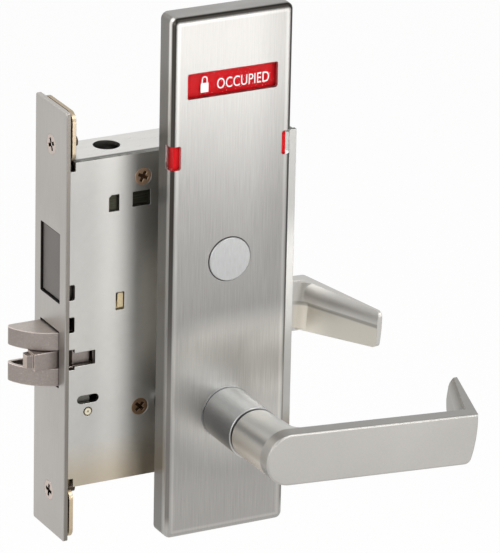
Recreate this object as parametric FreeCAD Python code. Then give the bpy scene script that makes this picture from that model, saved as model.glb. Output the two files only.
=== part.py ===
import FreeCAD, Part
import math
import os

V = FreeCAD.Vector

# Frame: origin at the centre of the armoured front's outer face, +X into the door from that
# face, +Y from the outside trim to the inside trim, +Z up. All sizes are millimetres.

# Door that the lock is built for
DOOR_THICKNESS = 44.45
DOOR_FACE = DOOR_THICKNESS / 2.0

# Armoured front on the door's edge
FRONT_HEIGHT = 203.2
FRONT_WIDTH = 31.75
FRONT_THICK = 2.0
FRONT_SCREW_Z = 82.4
FRONT_SCREW_HEAD_R = 4.6
SCREW_SHANK_R = 2.4

# Golden mounting brackets behind the front
BRACKET_X0 = 3.2
BRACKET_X1 = 5.0
BRACKET_HALF_WIDTH = 15.0
BRACKET_CORNER_R = 4.5
BRACKET_TIP_Z = 101.0
BRACKET_EAR_Z = 77.6
BRACKET_TONGUE_Z = 58.0
BRACKET_TONGUE_HALF = 9.8
DOOR_SCREW_Z = 92.0
DOOR_SCREW_R = 3.0

# Case
CASE_X0 = 2.3
CASE_X1 = 114.7
CASE_HALF_HEIGHT = 77.0
CASE_HALF_THICK = 12.7
SHEET = 2.0
COVER_THICK = 1.9
COVER_IN = -(CASE_HALF_THICK - COVER_THICK)
SIDE_IN = CASE_HALF_THICK - SHEET
NOTCH_X = 6.0
NOTCH_Z = 73.0
CASE_FRONT_WALL_X0 = 2.7
CASE_FRONT_WALL_X1 = 4.7

# Axes in the case
BACKSET = 69.85
LEVER_Z = -42.6
TURN_Z = 30.6

# Latchbolt
LATCH_Z = -16.0
LATCH_HEIGHT = 25.4
LATCH_PROJECTION = 16.7
LATCH_THROW = 17.0
PRONG_HEIGHT = 8.3
LATCH_HALF_WIDTH = 9.3
LEVER_TRAVEL_DEG = 45.0
ARM_RADIUS = LATCH_THROW / math.sin(math.radians(LEVER_TRAVEL_DEG))
ARM_TIP_R = 3.0
ARM_TIP_PLAY = 1.0
TONGUE_PIN = (11.5, -4.8)
TONGUE_PIN_R = 1.5

# Deadbolt
BOLT_Z = 27.1
BOLT_HEIGHT = 31.6
BOLT_HALF_WIDTH = 9.5
BOLT_THROW = 25.4
BOLT_RECESS = 0.9
BOLT_ARM_RADIUS = BOLT_THROW / 2.0 / math.sin(math.radians(45.0))
BOLT_PIN_R = 2.5
BOLT_PIN_PLAY = 0.7

# Openings in the armoured front, as (half width, lowest Z, highest Z)
BOLT_OPENING = (10.0, 10.6, 43.6)
LATCH_OPENING = (9.8, -29.6, -2.4)

# Case screws, rivet and top hole
COVER_SCREWS = [(38.9, 65.8), (38.7, -43.6), (104.0, 4.0)]
COVER_SCREW_HEAD_R = 4.0
RIVET = (13.0, -41.6)
RIVET_R = 1.75
RIVET_HOLE_R = 2.15
TOP_HOLE = (28.4, 3.0)
TOP_HOLE_R = 6.1

# Hubs and spindles
HUB_R = 11.0
HUB_JOURNAL_R = 9.0
SPINDLE = 8.0
TURN_HUB_R = 8.5
TURN_JOURNAL_R = 7.0
TURN_SPINDLE = 5.0
RUNNING = 0.05

# Privacy catch, driven by an eccentric pin on the outer turn hub
CATCH_STROKE = 5.0
CATCH_PIN_RADIUS = CATCH_STROKE / 2.0 / math.sin(math.radians(45.0))
CATCH_HALF_WIDTH = 2.5
CATCH_TIP_Z = LEVER_Z + 7.4

# Outside escutcheon
PLATE_WIDTH = 59.0
PLATE_Z0 = -99.6
PLATE_Z1 = 145.7
PLATE_FACE = -36.9
BACK_PLATE_THICK = 2.7
PLATE_BACK = -(DOOR_FACE + BACK_PLATE_THICK)
PLATE_WALL = 1.8
PLATE_CORNER_R = 3.2
PLATE_SHOULDER_R = 2.4
BACK_PLATE_INSET = 3.0

# Sign and side windows
SIGN_Z = 113.65
SIGN_HALF_WIDTH = 22.0
SIGN_HEIGHT = 11.7
SIDE_WINDOW_Z = 81.3
SIDE_WINDOW_HEIGHT = 11.0
SIDE_WINDOW_REACH = 4.8
SIDE_WINDOW_DEPTH = 5.6
INDICATOR_STROKE = 15.0
CRANK_RADIUS = INDICATOR_STROKE / 2.0 / math.sin(math.radians(45.0))
CRANK_PIN_R = 2.0
SLIDE_FRONT = -33.5
SLIDE_THICK = 1.2
CARD_THICK = 0.2
SLIDE_HALF_WIDTH = 27.25
FLAG_FRONT = -34.7
FLAG_REACH = 23.4
FLAG_DEPTH = -27.6
ARM_FRONT = -29.0
ARM_X0 = 5.4
ARM_X1 = 17.0

# Emergency release behind the removable button
BUTTON_R = 10.15
BUTTON_HOLE_R = 10.45
BUTTON_PROUD = 0.8
EMERGENCY_R = 9.3
EMERGENCY_SHAFT_R = 4.6

# Levers and collars
COLLAR_R = 12.2
COLLAR_LENGTH = 26.8
COLLAR_BORE_R = 9.65
COLLAR_NECK_R = 11.4
COLLAR_FLANGE_R = 16.0
GROOVE = 0.8
SLEEVE_R = 9.6
NECK_R = 11.5
LEVER_REACH = 32.5
BLADE_THICK = 7.0
BLADE_END_R = 12.1
BLADE_END = (BACKSET + 1.9, LEVER_Z - 0.5)
FLARE_R = 7.5
NECK_STRETCH = 0.3
BLADE_FALL = math.radians(4.0)
TIP_SLANT = 3.6
TIP_BULGE = 1.2
TIP_SPARE = 2.0

# Tip of each lever: X, top and low Z of the blade's end, then its return's lean, length and low Z
OUT_TIP = (165.3, -37.6, -61.2)
OUT_RETURN = (0.30, 51.6, -57.8)
IN_TIP = (170.7, -35.1, -60.2)
IN_RETURN = (0.1975, 57.5, -52.9)

# Side view of each return's free end, as (distance from the blade's face, Z)
OUT_NOSE = [(42.0, -37.6), (47.1, -44.3), (51.6, -52.0), (51.6, -52.8), (50.9, -55.2), (48.2, -57.4)]
IN_NOSE = [(54.5, -35.1), (56.8, -36.0), (57.5, -38.0), (57.4, -50.5), (56.9, -52.1), (55.4, -52.8)]

# Inside trim: two round roses
ROSE_R = 27.0
ROSE_FACE = 32.2
ROSE_PLATE_R = 24.0
ROSE_PLATE_THICK = 3.3
TURN_ROSE_R = 22.0
TURN_ROSE_FACE = 30.2
INSIDE_GROOVE = 49.4

# Through bolts that clamp both trims to the door, as offsets from the axes
LEVER_BOLT_OFFSET = 19.0
TURN_BOLT_OFFSET = 15.0

NODES = {}


def box(x, y, z):
    return Part.makeBox(x[1] - x[0], y[1] - y[0], z[1] - z[0], V(x[0], y[0], z[0]))


def rod_x(y, z, r, x0, x1):
    return Part.makeCylinder(r, x1 - x0, V(x0, y, z), V(1, 0, 0))


def rod_y(x, z, r, y0, y1):
    return Part.makeCylinder(r, y1 - y0, V(x, y0, z), V(0, 1, 0))


def rod_z(x, y, r, z0, z1):
    return Part.makeCylinder(r, z1 - z0, V(x, y, z0), V(0, 0, 1))


def cone_y(x, z, r0, r1, y0, y1):
    return Part.makeCone(r0, r1, y1 - y0, V(x, y0, z), V(0, 1, 0))


def ring_y(x, z, r_in, r_out, y0, y1):
    return rod_y(x, z, r_out, y0, y1).cut(rod_y(x, z, r_in, y0 - 1, y1 + 1))


def square_y(x, z, side, y0, y1):
    return box((x - side / 2, x + side / 2), (y0, y1), (z - side / 2, z + side / 2))


def union(first, *rest):
    return first.multiFuse(list(rest)).removeSplitter()


def edges_where(shape, test):
    return [e for e in shape.Edges if test(e)]


def along(edge, axis):
    ends = [v.Point for v in edge.Vertexes]
    if len(ends) < 2:
        return False
    d = ends[1] - ends[0]
    parts = [abs(d.x), abs(d.y), abs(d.z)]
    return parts["xyz".index(axis)] > 0.999 * d.Length


def rounded_box(x, y, z, axis, r):
    # A box whose four edges along one axis are rounded
    shape = box(x, y, z)
    return shape.makeFillet(r, edges_where(shape, lambda e: along(e, axis)))


def prism_y(points, y0, y1):
    # A prism along Y from outline points given as (X, Z)
    ring = [V(px, y0, pz) for px, pz in points]
    face = Part.Face(Part.makePolygon(ring + [ring[0]]))
    return face.extrude(V(0, y1 - y0, 0))


def prism_z(points, z0, z1):
    # A prism along Z from outline points given as (X, Y)
    ring = [V(px, py, z0) for px, py in points]
    face = Part.Face(Part.makePolygon(ring + [ring[0]]))
    return face.extrude(V(0, 0, z1 - z0))


def capsule_y(x0, z0, x1, z1, r0, r1, y0, y1):
    # A bar with round ends between two centres, for arms and cranks
    dx = x1 - x0
    dz = z1 - z0
    length = math.hypot(dx, dz)
    nx = -dz / length
    nz = dx / length
    corners = [(x0 + nx * r0, z0 + nz * r0), (x1 + nx * r1, z1 + nz * r1),
               (x1 - nx * r1, z1 - nz * r1), (x0 - nx * r0, z0 - nz * r0)]
    return union(prism_y(corners, y0, y1), rod_y(x0, z0, r0, y0, y1), rod_y(x1, z1, r1, y0, y1))


def cross_recess(x, y, z, normal, span, slot, depth, turn=0.0):
    # The cross-shaped driver recess of a screw head, sunk from its face against the normal
    half = span / 2.0
    if abs(normal.x) > 0.5:
        xs = sorted((x + normal.x, x - normal.x * depth))
        a = box(xs, (y - half, y + half), (z - slot, z + slot))
        b = box(xs, (y - slot, y + slot), (z - half, z + half))
    else:
        ys = sorted((y + normal.y, y - normal.y * depth))
        a = box((x - half, x + half), ys, (z - slot, z + slot))
        b = box((x - slot, x + slot), ys, (z - half, z + half))
    cross = union(a, b)
    cross.rotate(V(x, y, z), normal, turn)
    return cross


def coil(radius, wire, pitch, turns, base, direction):
    # A helical spring as one unbroken round wire
    helix = Part.makeHelix(pitch, pitch * turns, radius)
    start = V(radius, 0, 0)
    section = Part.Wire(Part.makeCircle(wire / 2.0, start, V(0, 1, 0)))
    spring = Part.Wire(helix).makePipeShell([section], True, True)
    spring.Placement = FreeCAD.Placement(base, FreeCAD.Rotation(V(0, 0, 1), direction))
    return spring


def keep(name, *solids):
    shape = solids[0] if len(solids) == 1 else Part.makeCompound(list(solids))
    NODES[name] = shape


# Armoured front, its screws and the brackets behind it
def make_front():
    half_w = FRONT_WIDTH / 2
    half_h = FRONT_HEIGHT / 2
    plate = rounded_box((0, FRONT_THICK), (-half_w, half_w), (-half_h, half_h), "x", 1.2)
    outer = edges_where(plate, lambda e: all(abs(v.X) < 1e-6 for v in e.Vertexes))
    plate = plate.makeChamfer(0.3, outer)
    for half, z0, z1 in (BOLT_OPENING, LATCH_OPENING):
        opening = rounded_box((-1, FRONT_THICK + 1), (-half, half), (z0, z1), "x", 0.6)
        plate = plate.cut(opening)
    screws = []
    for side, turn in ((1, 23.0), (-1, -8.0)):
        z = side * FRONT_SCREW_Z
        sink = Part.makeCone(FRONT_SCREW_HEAD_R + 0.05, SCREW_SHANK_R + 0.1, FRONT_THICK,
                             V(0, 0, z), V(1, 0, 0))
        plate = plate.cut(sink)
        head = Part.makeCone(FRONT_SCREW_HEAD_R - 0.05, SCREW_SHANK_R, FRONT_THICK,
                             V(0.05, 0, z), V(1, 0, 0))
        screw = union(head, rod_x(0, z, SCREW_SHANK_R, FRONT_THICK, 12.0))
        screws.append(screw.cut(cross_recess(0, 0, z, V(-1, 0, 0), 6.0, 0.85, 1.7, turn)))
    keep("armor_front", plate)
    keep("front_screws", *screws)

    brackets = []
    for side in (1, -1):
        ear_z = sorted((side * BRACKET_EAR_Z, side * BRACKET_TIP_Z))
        ear = rounded_box((BRACKET_X0, BRACKET_X1), (-BRACKET_HALF_WIDTH, BRACKET_HALF_WIDTH),
                          ear_z, "x", BRACKET_CORNER_R)
        tongue_z = sorted((side * BRACKET_TONGUE_Z, side * (BRACKET_EAR_Z + 6)))
        tongue = box((BRACKET_X0, BRACKET_X1), (-BRACKET_TONGUE_HALF, BRACKET_TONGUE_HALF), tongue_z)
        boss = rod_x(0, side * FRONT_SCREW_Z, 4.0, FRONT_THICK, BRACKET_X1 + 2.0)
        bracket = union(ear, tongue, boss)
        bracket = bracket.cut(rod_x(0, side * FRONT_SCREW_Z, SCREW_SHANK_R + 0.05, 0, 20))
        bracket = bracket.cut(rod_x(0, side * DOOR_SCREW_Z, DOOR_SCREW_R, 0, 20))
        brackets.append(bracket)
    keep("front_brackets", *brackets)


# Outline shared by the case side and its cover, with the notched front corners
def case_panel(y0, y1):
    panel = box((CASE_X0, CASE_X1), (y0, y1), (-CASE_HALF_HEIGHT, CASE_HALF_HEIGHT))
    for side in (1, -1):
        z = sorted((side * NOTCH_Z, side * (CASE_HALF_HEIGHT + 1)))
        panel = panel.cut(box((CASE_X0 - 1, NOTCH_X), (y0 - 1, y1 + 1), z))
    return panel


def trim_bolt_places():
    return [(BACKSET - LEVER_BOLT_OFFSET, LEVER_Z), (BACKSET + LEVER_BOLT_OFFSET, LEVER_Z),
            (BACKSET - TURN_BOLT_OFFSET, TURN_Z), (BACKSET + TURN_BOLT_OFFSET, TURN_Z)]


def make_case():
    rear = box((CASE_X1 - SHEET, CASE_X1), (COVER_IN, SIDE_IN), (-CASE_HALF_HEIGHT, CASE_HALF_HEIGHT))
    walls = [case_panel(SIDE_IN, CASE_HALF_THICK), rear]
    for side in (1, -1):
        z = sorted((side * (CASE_HALF_HEIGHT - SHEET), side * CASE_HALF_HEIGHT))
        walls.append(box((NOTCH_X, CASE_X1), (COVER_IN, SIDE_IN), z))
    front_z = BRACKET_TONGUE_Z - 0.5
    front = box((CASE_FRONT_WALL_X0, CASE_FRONT_WALL_X1), (-9.5, SIDE_IN), (-front_z, front_z))
    walls.append(front)
    body = union(*walls)
    rear_edges = edges_where(body, lambda e: along(e, "y") and e.CenterOfMass.x > CASE_X1 - 0.01)
    body = body.makeFillet(1.5, rear_edges)
    for half, z0, z1 in (BOLT_OPENING, LATCH_OPENING):
        body = body.cut(box((0, NOTCH_X), (-half + 0.2, half - 0.2), (z0 + 0.2, z1 - 0.2)))
    body = body.cut(rod_y(BACKSET, LEVER_Z, HUB_JOURNAL_R + RUNNING, 5, 20))
    body = body.cut(rod_y(BACKSET, TURN_Z, TURN_JOURNAL_R + RUNNING, 5, 20))
    for x, z in trim_bolt_places():
        body = body.cut(rod_y(x, z, 3.2, 5, 20))
    body = body.cut(rod_z(TOP_HOLE[0], TOP_HOLE[1], TOP_HOLE_R, 70, 80))
    keep("case_body", body)


def make_cover():
    y0 = -CASE_HALF_THICK
    y1 = COVER_IN
    cover = case_panel(y0, y1)
    through = (y0 - 1, y1 + 1)
    cut = [
        prism_y([(22.4, 51.5), (27.4, 51.5), (27.4, 59.3), (23.6, 59.3), (22.4, 58.2)], *through),
        rounded_box((33.9, 42.6), through, (52.2, 59.3), "y", 0.4),
        rounded_box((26.2, 30.4), through, (4.5, 12.9), "y", 0.4),
        rounded_box((CASE_X0 - 2, 6.1), through, (12.6, 19.9), "y", 0.8),
        rounded_box((CASE_X0 - 2, 6.1), through, (-2.7, 4.6), "y", 0.8),
        box((CASE_X0 - 2, 6.3), through, (-20.6, -10.8)),
        rounded_box((5.3, 16.4), through, (-19.2, -12.6), "y", 0.3),
        rounded_box((7.7, 18.3), through, (-37.65, -33.6), "y", 2.0),
        rod_y(RIVET[0], RIVET[1], RIVET_HOLE_R, *through),
        rod_y(BACKSET, LEVER_Z, HUB_JOURNAL_R + RUNNING, *through),
        rod_y(BACKSET, TURN_Z, TURN_JOURNAL_R + RUNNING, *through),
    ]
    for x, z in trim_bolt_places():
        cut.append(rod_y(x, z, 3.2, *through))
    for x, z in COVER_SCREWS:
        cut.append(cone_y(x, z, COVER_SCREW_HEAD_R + 0.1, SCREW_SHANK_R + 0.1, y0, y1))
    for tool in cut:
        cover = cover.cut(tool)
    keep("case_cover", cover)

    screws = []
    posts = []
    turns = (-27.0, 45.0, 10.0)
    for (x, z), turn in zip(COVER_SCREWS, turns):
        head = cone_y(x, z, COVER_SCREW_HEAD_R, SCREW_SHANK_R, y0 + 0.05, y1)
        screw = union(head, rod_y(x, z, SCREW_SHANK_R, y1, -2.0))
        screws.append(screw.cut(cross_recess(x, y0, z, V(0, -1, 0), 5.2, 0.8, 1.6, turn)))
        post = rod_y(x, z, 4.2, y1, SIDE_IN)
        posts.append(post.cut(rod_y(x, z, SCREW_SHANK_R + 0.05, y1 - 1, -1.0)))
    keep("cover_screws", *screws)
    keep("cover_posts", *posts)

    rivet_head = rod_y(RIVET[0], RIVET[1], RIVET_R, y0 - 0.15, y1 + 1)
    rivet = union(rivet_head, rod_y(RIVET[0], RIVET[1], 3.0, y1 + 0.2, SIDE_IN))
    keep("guide_rivet", rivet)
    foot = box((6.5, 21.0), (-9.6, -8.0), (-45.5, -38.5))
    guide = union(foot, box((6.5, 15.2), (-9.6, -8.0), (-39, -31.5)))
    keep("latch_guide", guide.cut(rod_y(RIVET[0], RIVET[1], 3.05, -12, 0)))

    keep("window_plate", box((20.5, 44.5), (COVER_IN, COVER_IN + 0.9), (49.5, 61.0)))

    strip = box((22.0, 56.0), (COVER_IN + 0.1, SIDE_IN), (4.6, 8.0))
    tab = rounded_box((27.3, 30.1), (-12.1, -10.0), (5.4, 12.3), "y", 0.5)
    keep("bolt_guide", union(strip, tab))


# Latchbolt: two prongs with a convex bevel on the side that meets the strike
def prong_outline():
    root = V(0.5, -9.0, 0)
    middle = V(-10.6, -3.2, 0)
    tip = V(-LATCH_PROJECTION, 5.6, 0)
    far_tip = V(-LATCH_PROJECTION + 1.2, LATCH_HALF_WIDTH, 0)
    far_root = V(0.5, LATCH_HALF_WIDTH, 0)
    nose = V(-LATCH_PROJECTION + 0.15, 8.2, 0)
    return [Part.Arc(root, middle, tip).toShape(), Part.Arc(tip, nose, far_tip).toShape(),
            Part.makeLine(far_tip, far_root), Part.makeLine(far_root, root)]


def make_prong(z0, z1, pocket):
    face = Part.Face(Part.Wire(prong_outline()))
    face.translate(V(0, 0, z0))
    prong = face.extrude(V(0, 0, z1 - z0))
    if pocket:
        inner = Part.Face(Part.Wire(prong_outline()).makeOffset2D(-1.5))
        inner.translate(V(0, 0, z1 - 2.2))
        prong = prong.cut(inner.extrude(V(0, 0, 5)))
    return prong


def make_latch():
    top = LATCH_Z + LATCH_HEIGHT / 2
    low = LATCH_Z - LATCH_HEIGHT / 2
    upper = make_prong(top - PRONG_HEIGHT, top, False)
    lower = make_prong(low, low + PRONG_HEIGHT, True)
    block = box((0.5, 24), (-LATCH_HALF_WIDTH + 0.3, LATCH_HALF_WIDTH), (low, top))
    pocket = box((0, 17), (-LATCH_HALF_WIDTH - 1, 1.0), (low + PRONG_HEIGHT, top - PRONG_HEIGHT))
    clear = box((0, 8), (-LATCH_HALF_WIDTH - 1, LATCH_HALF_WIDTH + 1),
                (low + PRONG_HEIGHT, top - PRONG_HEIGHT))
    block = block.cut(pocket).cut(clear)
    push_x = BACKSET + ARM_TIP_R + ARM_TIP_PLAY
    stem_end = push_x + 6.0
    stem = box((23, stem_end), (-2.0, 3.2), (-12.4, -7.4))
    rear_leg = box((push_x, stem_end), (-2.0, 3.2), (-28.0, -7.4))
    pull_x = BACKSET - ARM_TIP_R - ARM_TIP_PLAY
    front_leg = box((pull_x - 4, pull_x), (-2.0, 3.2), (-19.0, -7.4))
    bolt = union(upper, lower, block, stem, rear_leg, front_leg)
    pin_hole = rod_z(TONGUE_PIN[0], TONGUE_PIN[1], TONGUE_PIN_R + RUNNING, low + 2, top - 2)
    keep("latchbolt", bolt.cut(pin_hole))
    pin = rod_z(TONGUE_PIN[0], TONGUE_PIN[1], TONGUE_PIN_R, low + 2.2, top - 2.2)
    keep("tongue_pin", pin)

    t0 = low + PRONG_HEIGHT + 0.4
    t1 = top - PRONG_HEIGHT - 0.4
    outline = [(15.4, -8.7), (-11.4, -8.7), (-11.4, -6.9), (-14.2, -6.1), (-14.2, -2.0), (-9.0, -1.0),
               (15.4, -1.0)]
    tongue = prism_z(outline, t0, t1)
    # The nose is lower than the block behind it, and a pit parts the block from the tail
    nose_trim = box((-16, -11.4), (-10, 0), (t1 - 0.9, t1 + 1))
    nose_trim = union(nose_trim, box((-16, -11.4), (-10, 0), (t0 - 1, t0 + 0.9)))
    tongue = tongue.cut(nose_trim)
    front_edges = edges_where(tongue, lambda e: along(e, "z") and abs(e.CenterOfMass.x + 14.2) < 0.01)
    tongue = tongue.makeFillet(0.8, front_edges)
    tongue = tongue.cut(box((2.2, 7.0), (-9, -5.0), (t0 - 1, t1 + 1)))
    pin_bore = rod_z(TONGUE_PIN[0], TONGUE_PIN[1], TONGUE_PIN_R + RUNNING, t0 - 1, t1 + 1)
    keep("antifriction_tongue", tongue.cut(pin_bore))

    keep("spring_stop", box((50.0, 53.0), (COVER_IN, SIDE_IN), (-25.0, -15.0)))
    keep("latch_spring", coil(3.4, 0.9, 4.13, 6, V(24.6, 3.0, -20.0), V(1, 0, 0)))


def make_deadbolt():
    z0 = BOLT_Z - BOLT_HEIGHT / 2
    z1 = BOLT_Z + BOLT_HEIGHT / 2
    head = box((BOLT_RECESS, 34), (-BOLT_HALF_WIDTH, BOLT_HALF_WIDTH), (z0, z1))
    face = edges_where(head, lambda e: e.CenterOfMass.x < BOLT_RECESS + 0.01)
    head = head.makeChamfer(0.5, face)
    tail = box((33, 90), (-2.0, 2.0), (9.0, 24.0))
    arm_x = BACKSET + BOLT_THROW / 2
    half = BOLT_PIN_R + BOLT_PIN_PLAY
    slot = box((arm_x - half, arm_x + half), (-5, 5), (8, 21.4))
    keep("deadbolt", union(head, tail).cut(slot))

    arm_z = TURN_Z - BOLT_THROW / 2
    barrel = rod_y(BACKSET, TURN_Z, TURN_HUB_R, 2.4, SIDE_IN - 0.1)
    journal = rod_y(BACKSET, TURN_Z, TURN_JOURNAL_R, SIDE_IN - 0.2, CASE_HALF_THICK)
    arm = capsule_y(BACKSET, TURN_Z, arm_x, arm_z, 6.5, 4.0, 2.4, 5.4)
    hub = union(barrel, journal, arm)
    hub = hub.cut(square_y(BACKSET, TURN_Z, TURN_SPINDLE + 0.1, 3.4, 20))
    hub = hub.cut(rod_y(arm_x, arm_z, BOLT_PIN_R + 0.02, 0, 10))
    keep("deadbolt_hub", hub)
    keep("deadbolt_crank_pin", rod_y(arm_x, arm_z, BOLT_PIN_R, -2.2, 5.4))


# Hubs that the lever spindles turn, one half per side
def make_hubs():
    barrel = rod_y(BACKSET, LEVER_Z, HUB_R, 0.6, SIDE_IN - 0.1)
    journal = rod_y(BACKSET, LEVER_Z, HUB_JOURNAL_R, SIDE_IN - 0.2, CASE_HALF_THICK)
    tip_z = LEVER_Z + ARM_RADIUS
    arm = capsule_y(BACKSET, LEVER_Z, BACKSET, tip_z, ARM_TIP_R, ARM_TIP_R, 0.6, 3.0)
    hub = union(barrel, journal, arm)
    keep("inside_hub", hub.cut(square_y(BACKSET, LEVER_Z, SPINDLE + 0.1, 2.0, 20)))

    barrel = rod_y(BACKSET, LEVER_Z, HUB_R, COVER_IN + 0.1, -0.6)
    journal = rod_y(BACKSET, LEVER_Z, HUB_JOURNAL_R, -CASE_HALF_THICK, COVER_IN + 0.2)
    hub = union(barrel, journal)
    hub = hub.cut(square_y(BACKSET, LEVER_Z, SPINDLE + 0.1, -20, -2.0))
    clear_deg = math.degrees(math.asin(CATCH_HALF_WIDTH / 7.0)) + 4.0
    sweep = LEVER_TRAVEL_DEG + 2 * clear_deg
    sector = Part.makeCylinder(HUB_R + 1, 3.0, V(0, 0, 0), V(0, 0, 1), sweep)
    sector = sector.cut(Part.makeCylinder(7.0, 5, V(0, 0, -1), V(0, 0, 1)))
    # The sector lies in XY from +X; it is turned to lie about +Z, towards -X, across the hub
    sector.rotate(V(0, 0, 0), V(0, 0, 1), 90 - clear_deg)
    sector.rotate(V(0, 0, 0), V(1, 0, 0), 90)
    sector.translate(V(BACKSET, -3.9, LEVER_Z))
    keep("outside_hub", hub.cut(sector))


def make_catch():
    pin_x = BACKSET + CATCH_STROKE / 2
    pin_z = TURN_Z - CATCH_STROKE / 2
    head = box((BACKSET - CATCH_HALF_WIDTH, BACKSET + 8), (-6.4, -4.4), (pin_z - 5, pin_z + 5))
    strip = box((BACKSET - CATCH_HALF_WIDTH, BACKSET + CATCH_HALF_WIDTH), (-6.4, -4.4), (CATCH_TIP_Z, pin_z))
    slot = box((BACKSET + 0.3, BACKSET + 5.8), (-8, -3), (pin_z - 2.1, pin_z + 2.1))
    keep("privacy_catch", union(head, strip).cut(slot))

    barrel = rod_y(BACKSET, TURN_Z, TURN_HUB_R, COVER_IN + 0.1, -6.8)
    journal = rod_y(BACKSET, TURN_Z, TURN_JOURNAL_R, -CASE_HALF_THICK, COVER_IN + 0.2)
    pin = rod_y(pin_x, pin_z, 1.8, -7.0, -4.2)
    hub = union(barrel, journal, pin)
    keep("emergency_hub", hub.cut(square_y(BACKSET, TURN_Z, TURN_SPINDLE + 0.1, -20, -8.0)))


# Outside escutcheon: a hollow shell with windows, on a flat mounting plate
def shell_block(inset, y_front, y_back, corner, shoulder):
    x = (BACKSET - PLATE_WIDTH / 2 + inset, BACKSET + PLATE_WIDTH / 2 - inset)
    z = (PLATE_Z0 + inset, PLATE_Z1 - inset)
    block = rounded_box(x, (y_front, y_back), z, "y", corner)
    if shoulder > 0:
        rim = edges_where(block, lambda e: abs(e.CenterOfMass.y - y_front) < 1e-6)
        block = block.makeFillet(shoulder, rim)
    return block


def side_window(side, shrink):
    edge = BACKSET + side * PLATE_WIDTH / 2
    x = sorted((edge + side * 1.0, edge - side * (SIDE_WINDOW_REACH - shrink)))
    half = SIDE_WINDOW_HEIGHT / 2 - shrink
    z = (SIDE_WINDOW_Z - half, SIDE_WINDOW_Z + half)
    return rounded_box(x, (PLATE_FACE - 1, PLATE_FACE + SIDE_WINDOW_DEPTH - shrink), z, "y", 1.0)


def make_escutcheon():
    shell = shell_block(0, PLATE_FACE, PLATE_BACK, PLATE_CORNER_R, PLATE_SHOULDER_R)
    hollow = shell_block(PLATE_WALL, PLATE_FACE + PLATE_WALL, PLATE_BACK + 1,
                         PLATE_CORNER_R - PLATE_WALL, 0.3)
    shell = shell.cut(hollow)
    lenses = []
    for side in (-1, 1):
        lenses.append(shell.common(side_window(side, 0.06)))
        shell = shell.cut(side_window(side, 0.0))
    half = SIGN_HEIGHT / 2
    window = rounded_box((BACKSET - SIGN_HALF_WIDTH, BACKSET + SIGN_HALF_WIDTH),
                         (PLATE_FACE - 1, PLATE_FACE + 5), (SIGN_Z - half, SIGN_Z + half), "y", 1.0)
    shell = shell.cut(window)
    shell = shell.cut(rod_y(BACKSET, TURN_Z, BUTTON_HOLE_R, PLATE_FACE - 1, PLATE_FACE + 5))
    shell = shell.cut(rod_y(BACKSET, LEVER_Z, COLLAR_NECK_R + RUNNING, PLATE_FACE - 1, PLATE_FACE + 5))
    keep("outside_escutcheon", shell)
    keep("side_lenses", *lenses)
    lens_y = PLATE_FACE + PLATE_WALL
    lens = box((BACKSET - SIGN_HALF_WIDTH - 2, BACKSET + SIGN_HALF_WIDTH + 2), (lens_y, lens_y + 1.0),
               (SIGN_Z - half - 2, SIGN_Z + half + 2))
    keep("sign_lens", lens)

    back = shell_block(BACK_PLATE_INSET, PLATE_BACK, -DOOR_FACE, PLATE_CORNER_R - 1.5, 0)
    back = back.cut(rod_y(BACKSET, LEVER_Z, 7.0, -30, -20))
    back = back.cut(rod_y(BACKSET, TURN_Z, EMERGENCY_SHAFT_R + RUNNING, -30, -20))
    posts = []
    for x, z in trim_bolt_places():
        back = back.cut(rod_y(x, z, 4.85, -30, -20))
        post = rod_y(x, z, 4.8, PLATE_BACK, -13.4)
        posts.append(post.cut(rod_y(x, z, SCREW_SHANK_R + 0.05, -23.5, -10)))
    keep("escutcheon_back_plate", back)
    keep("mounting_posts", *posts)


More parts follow.
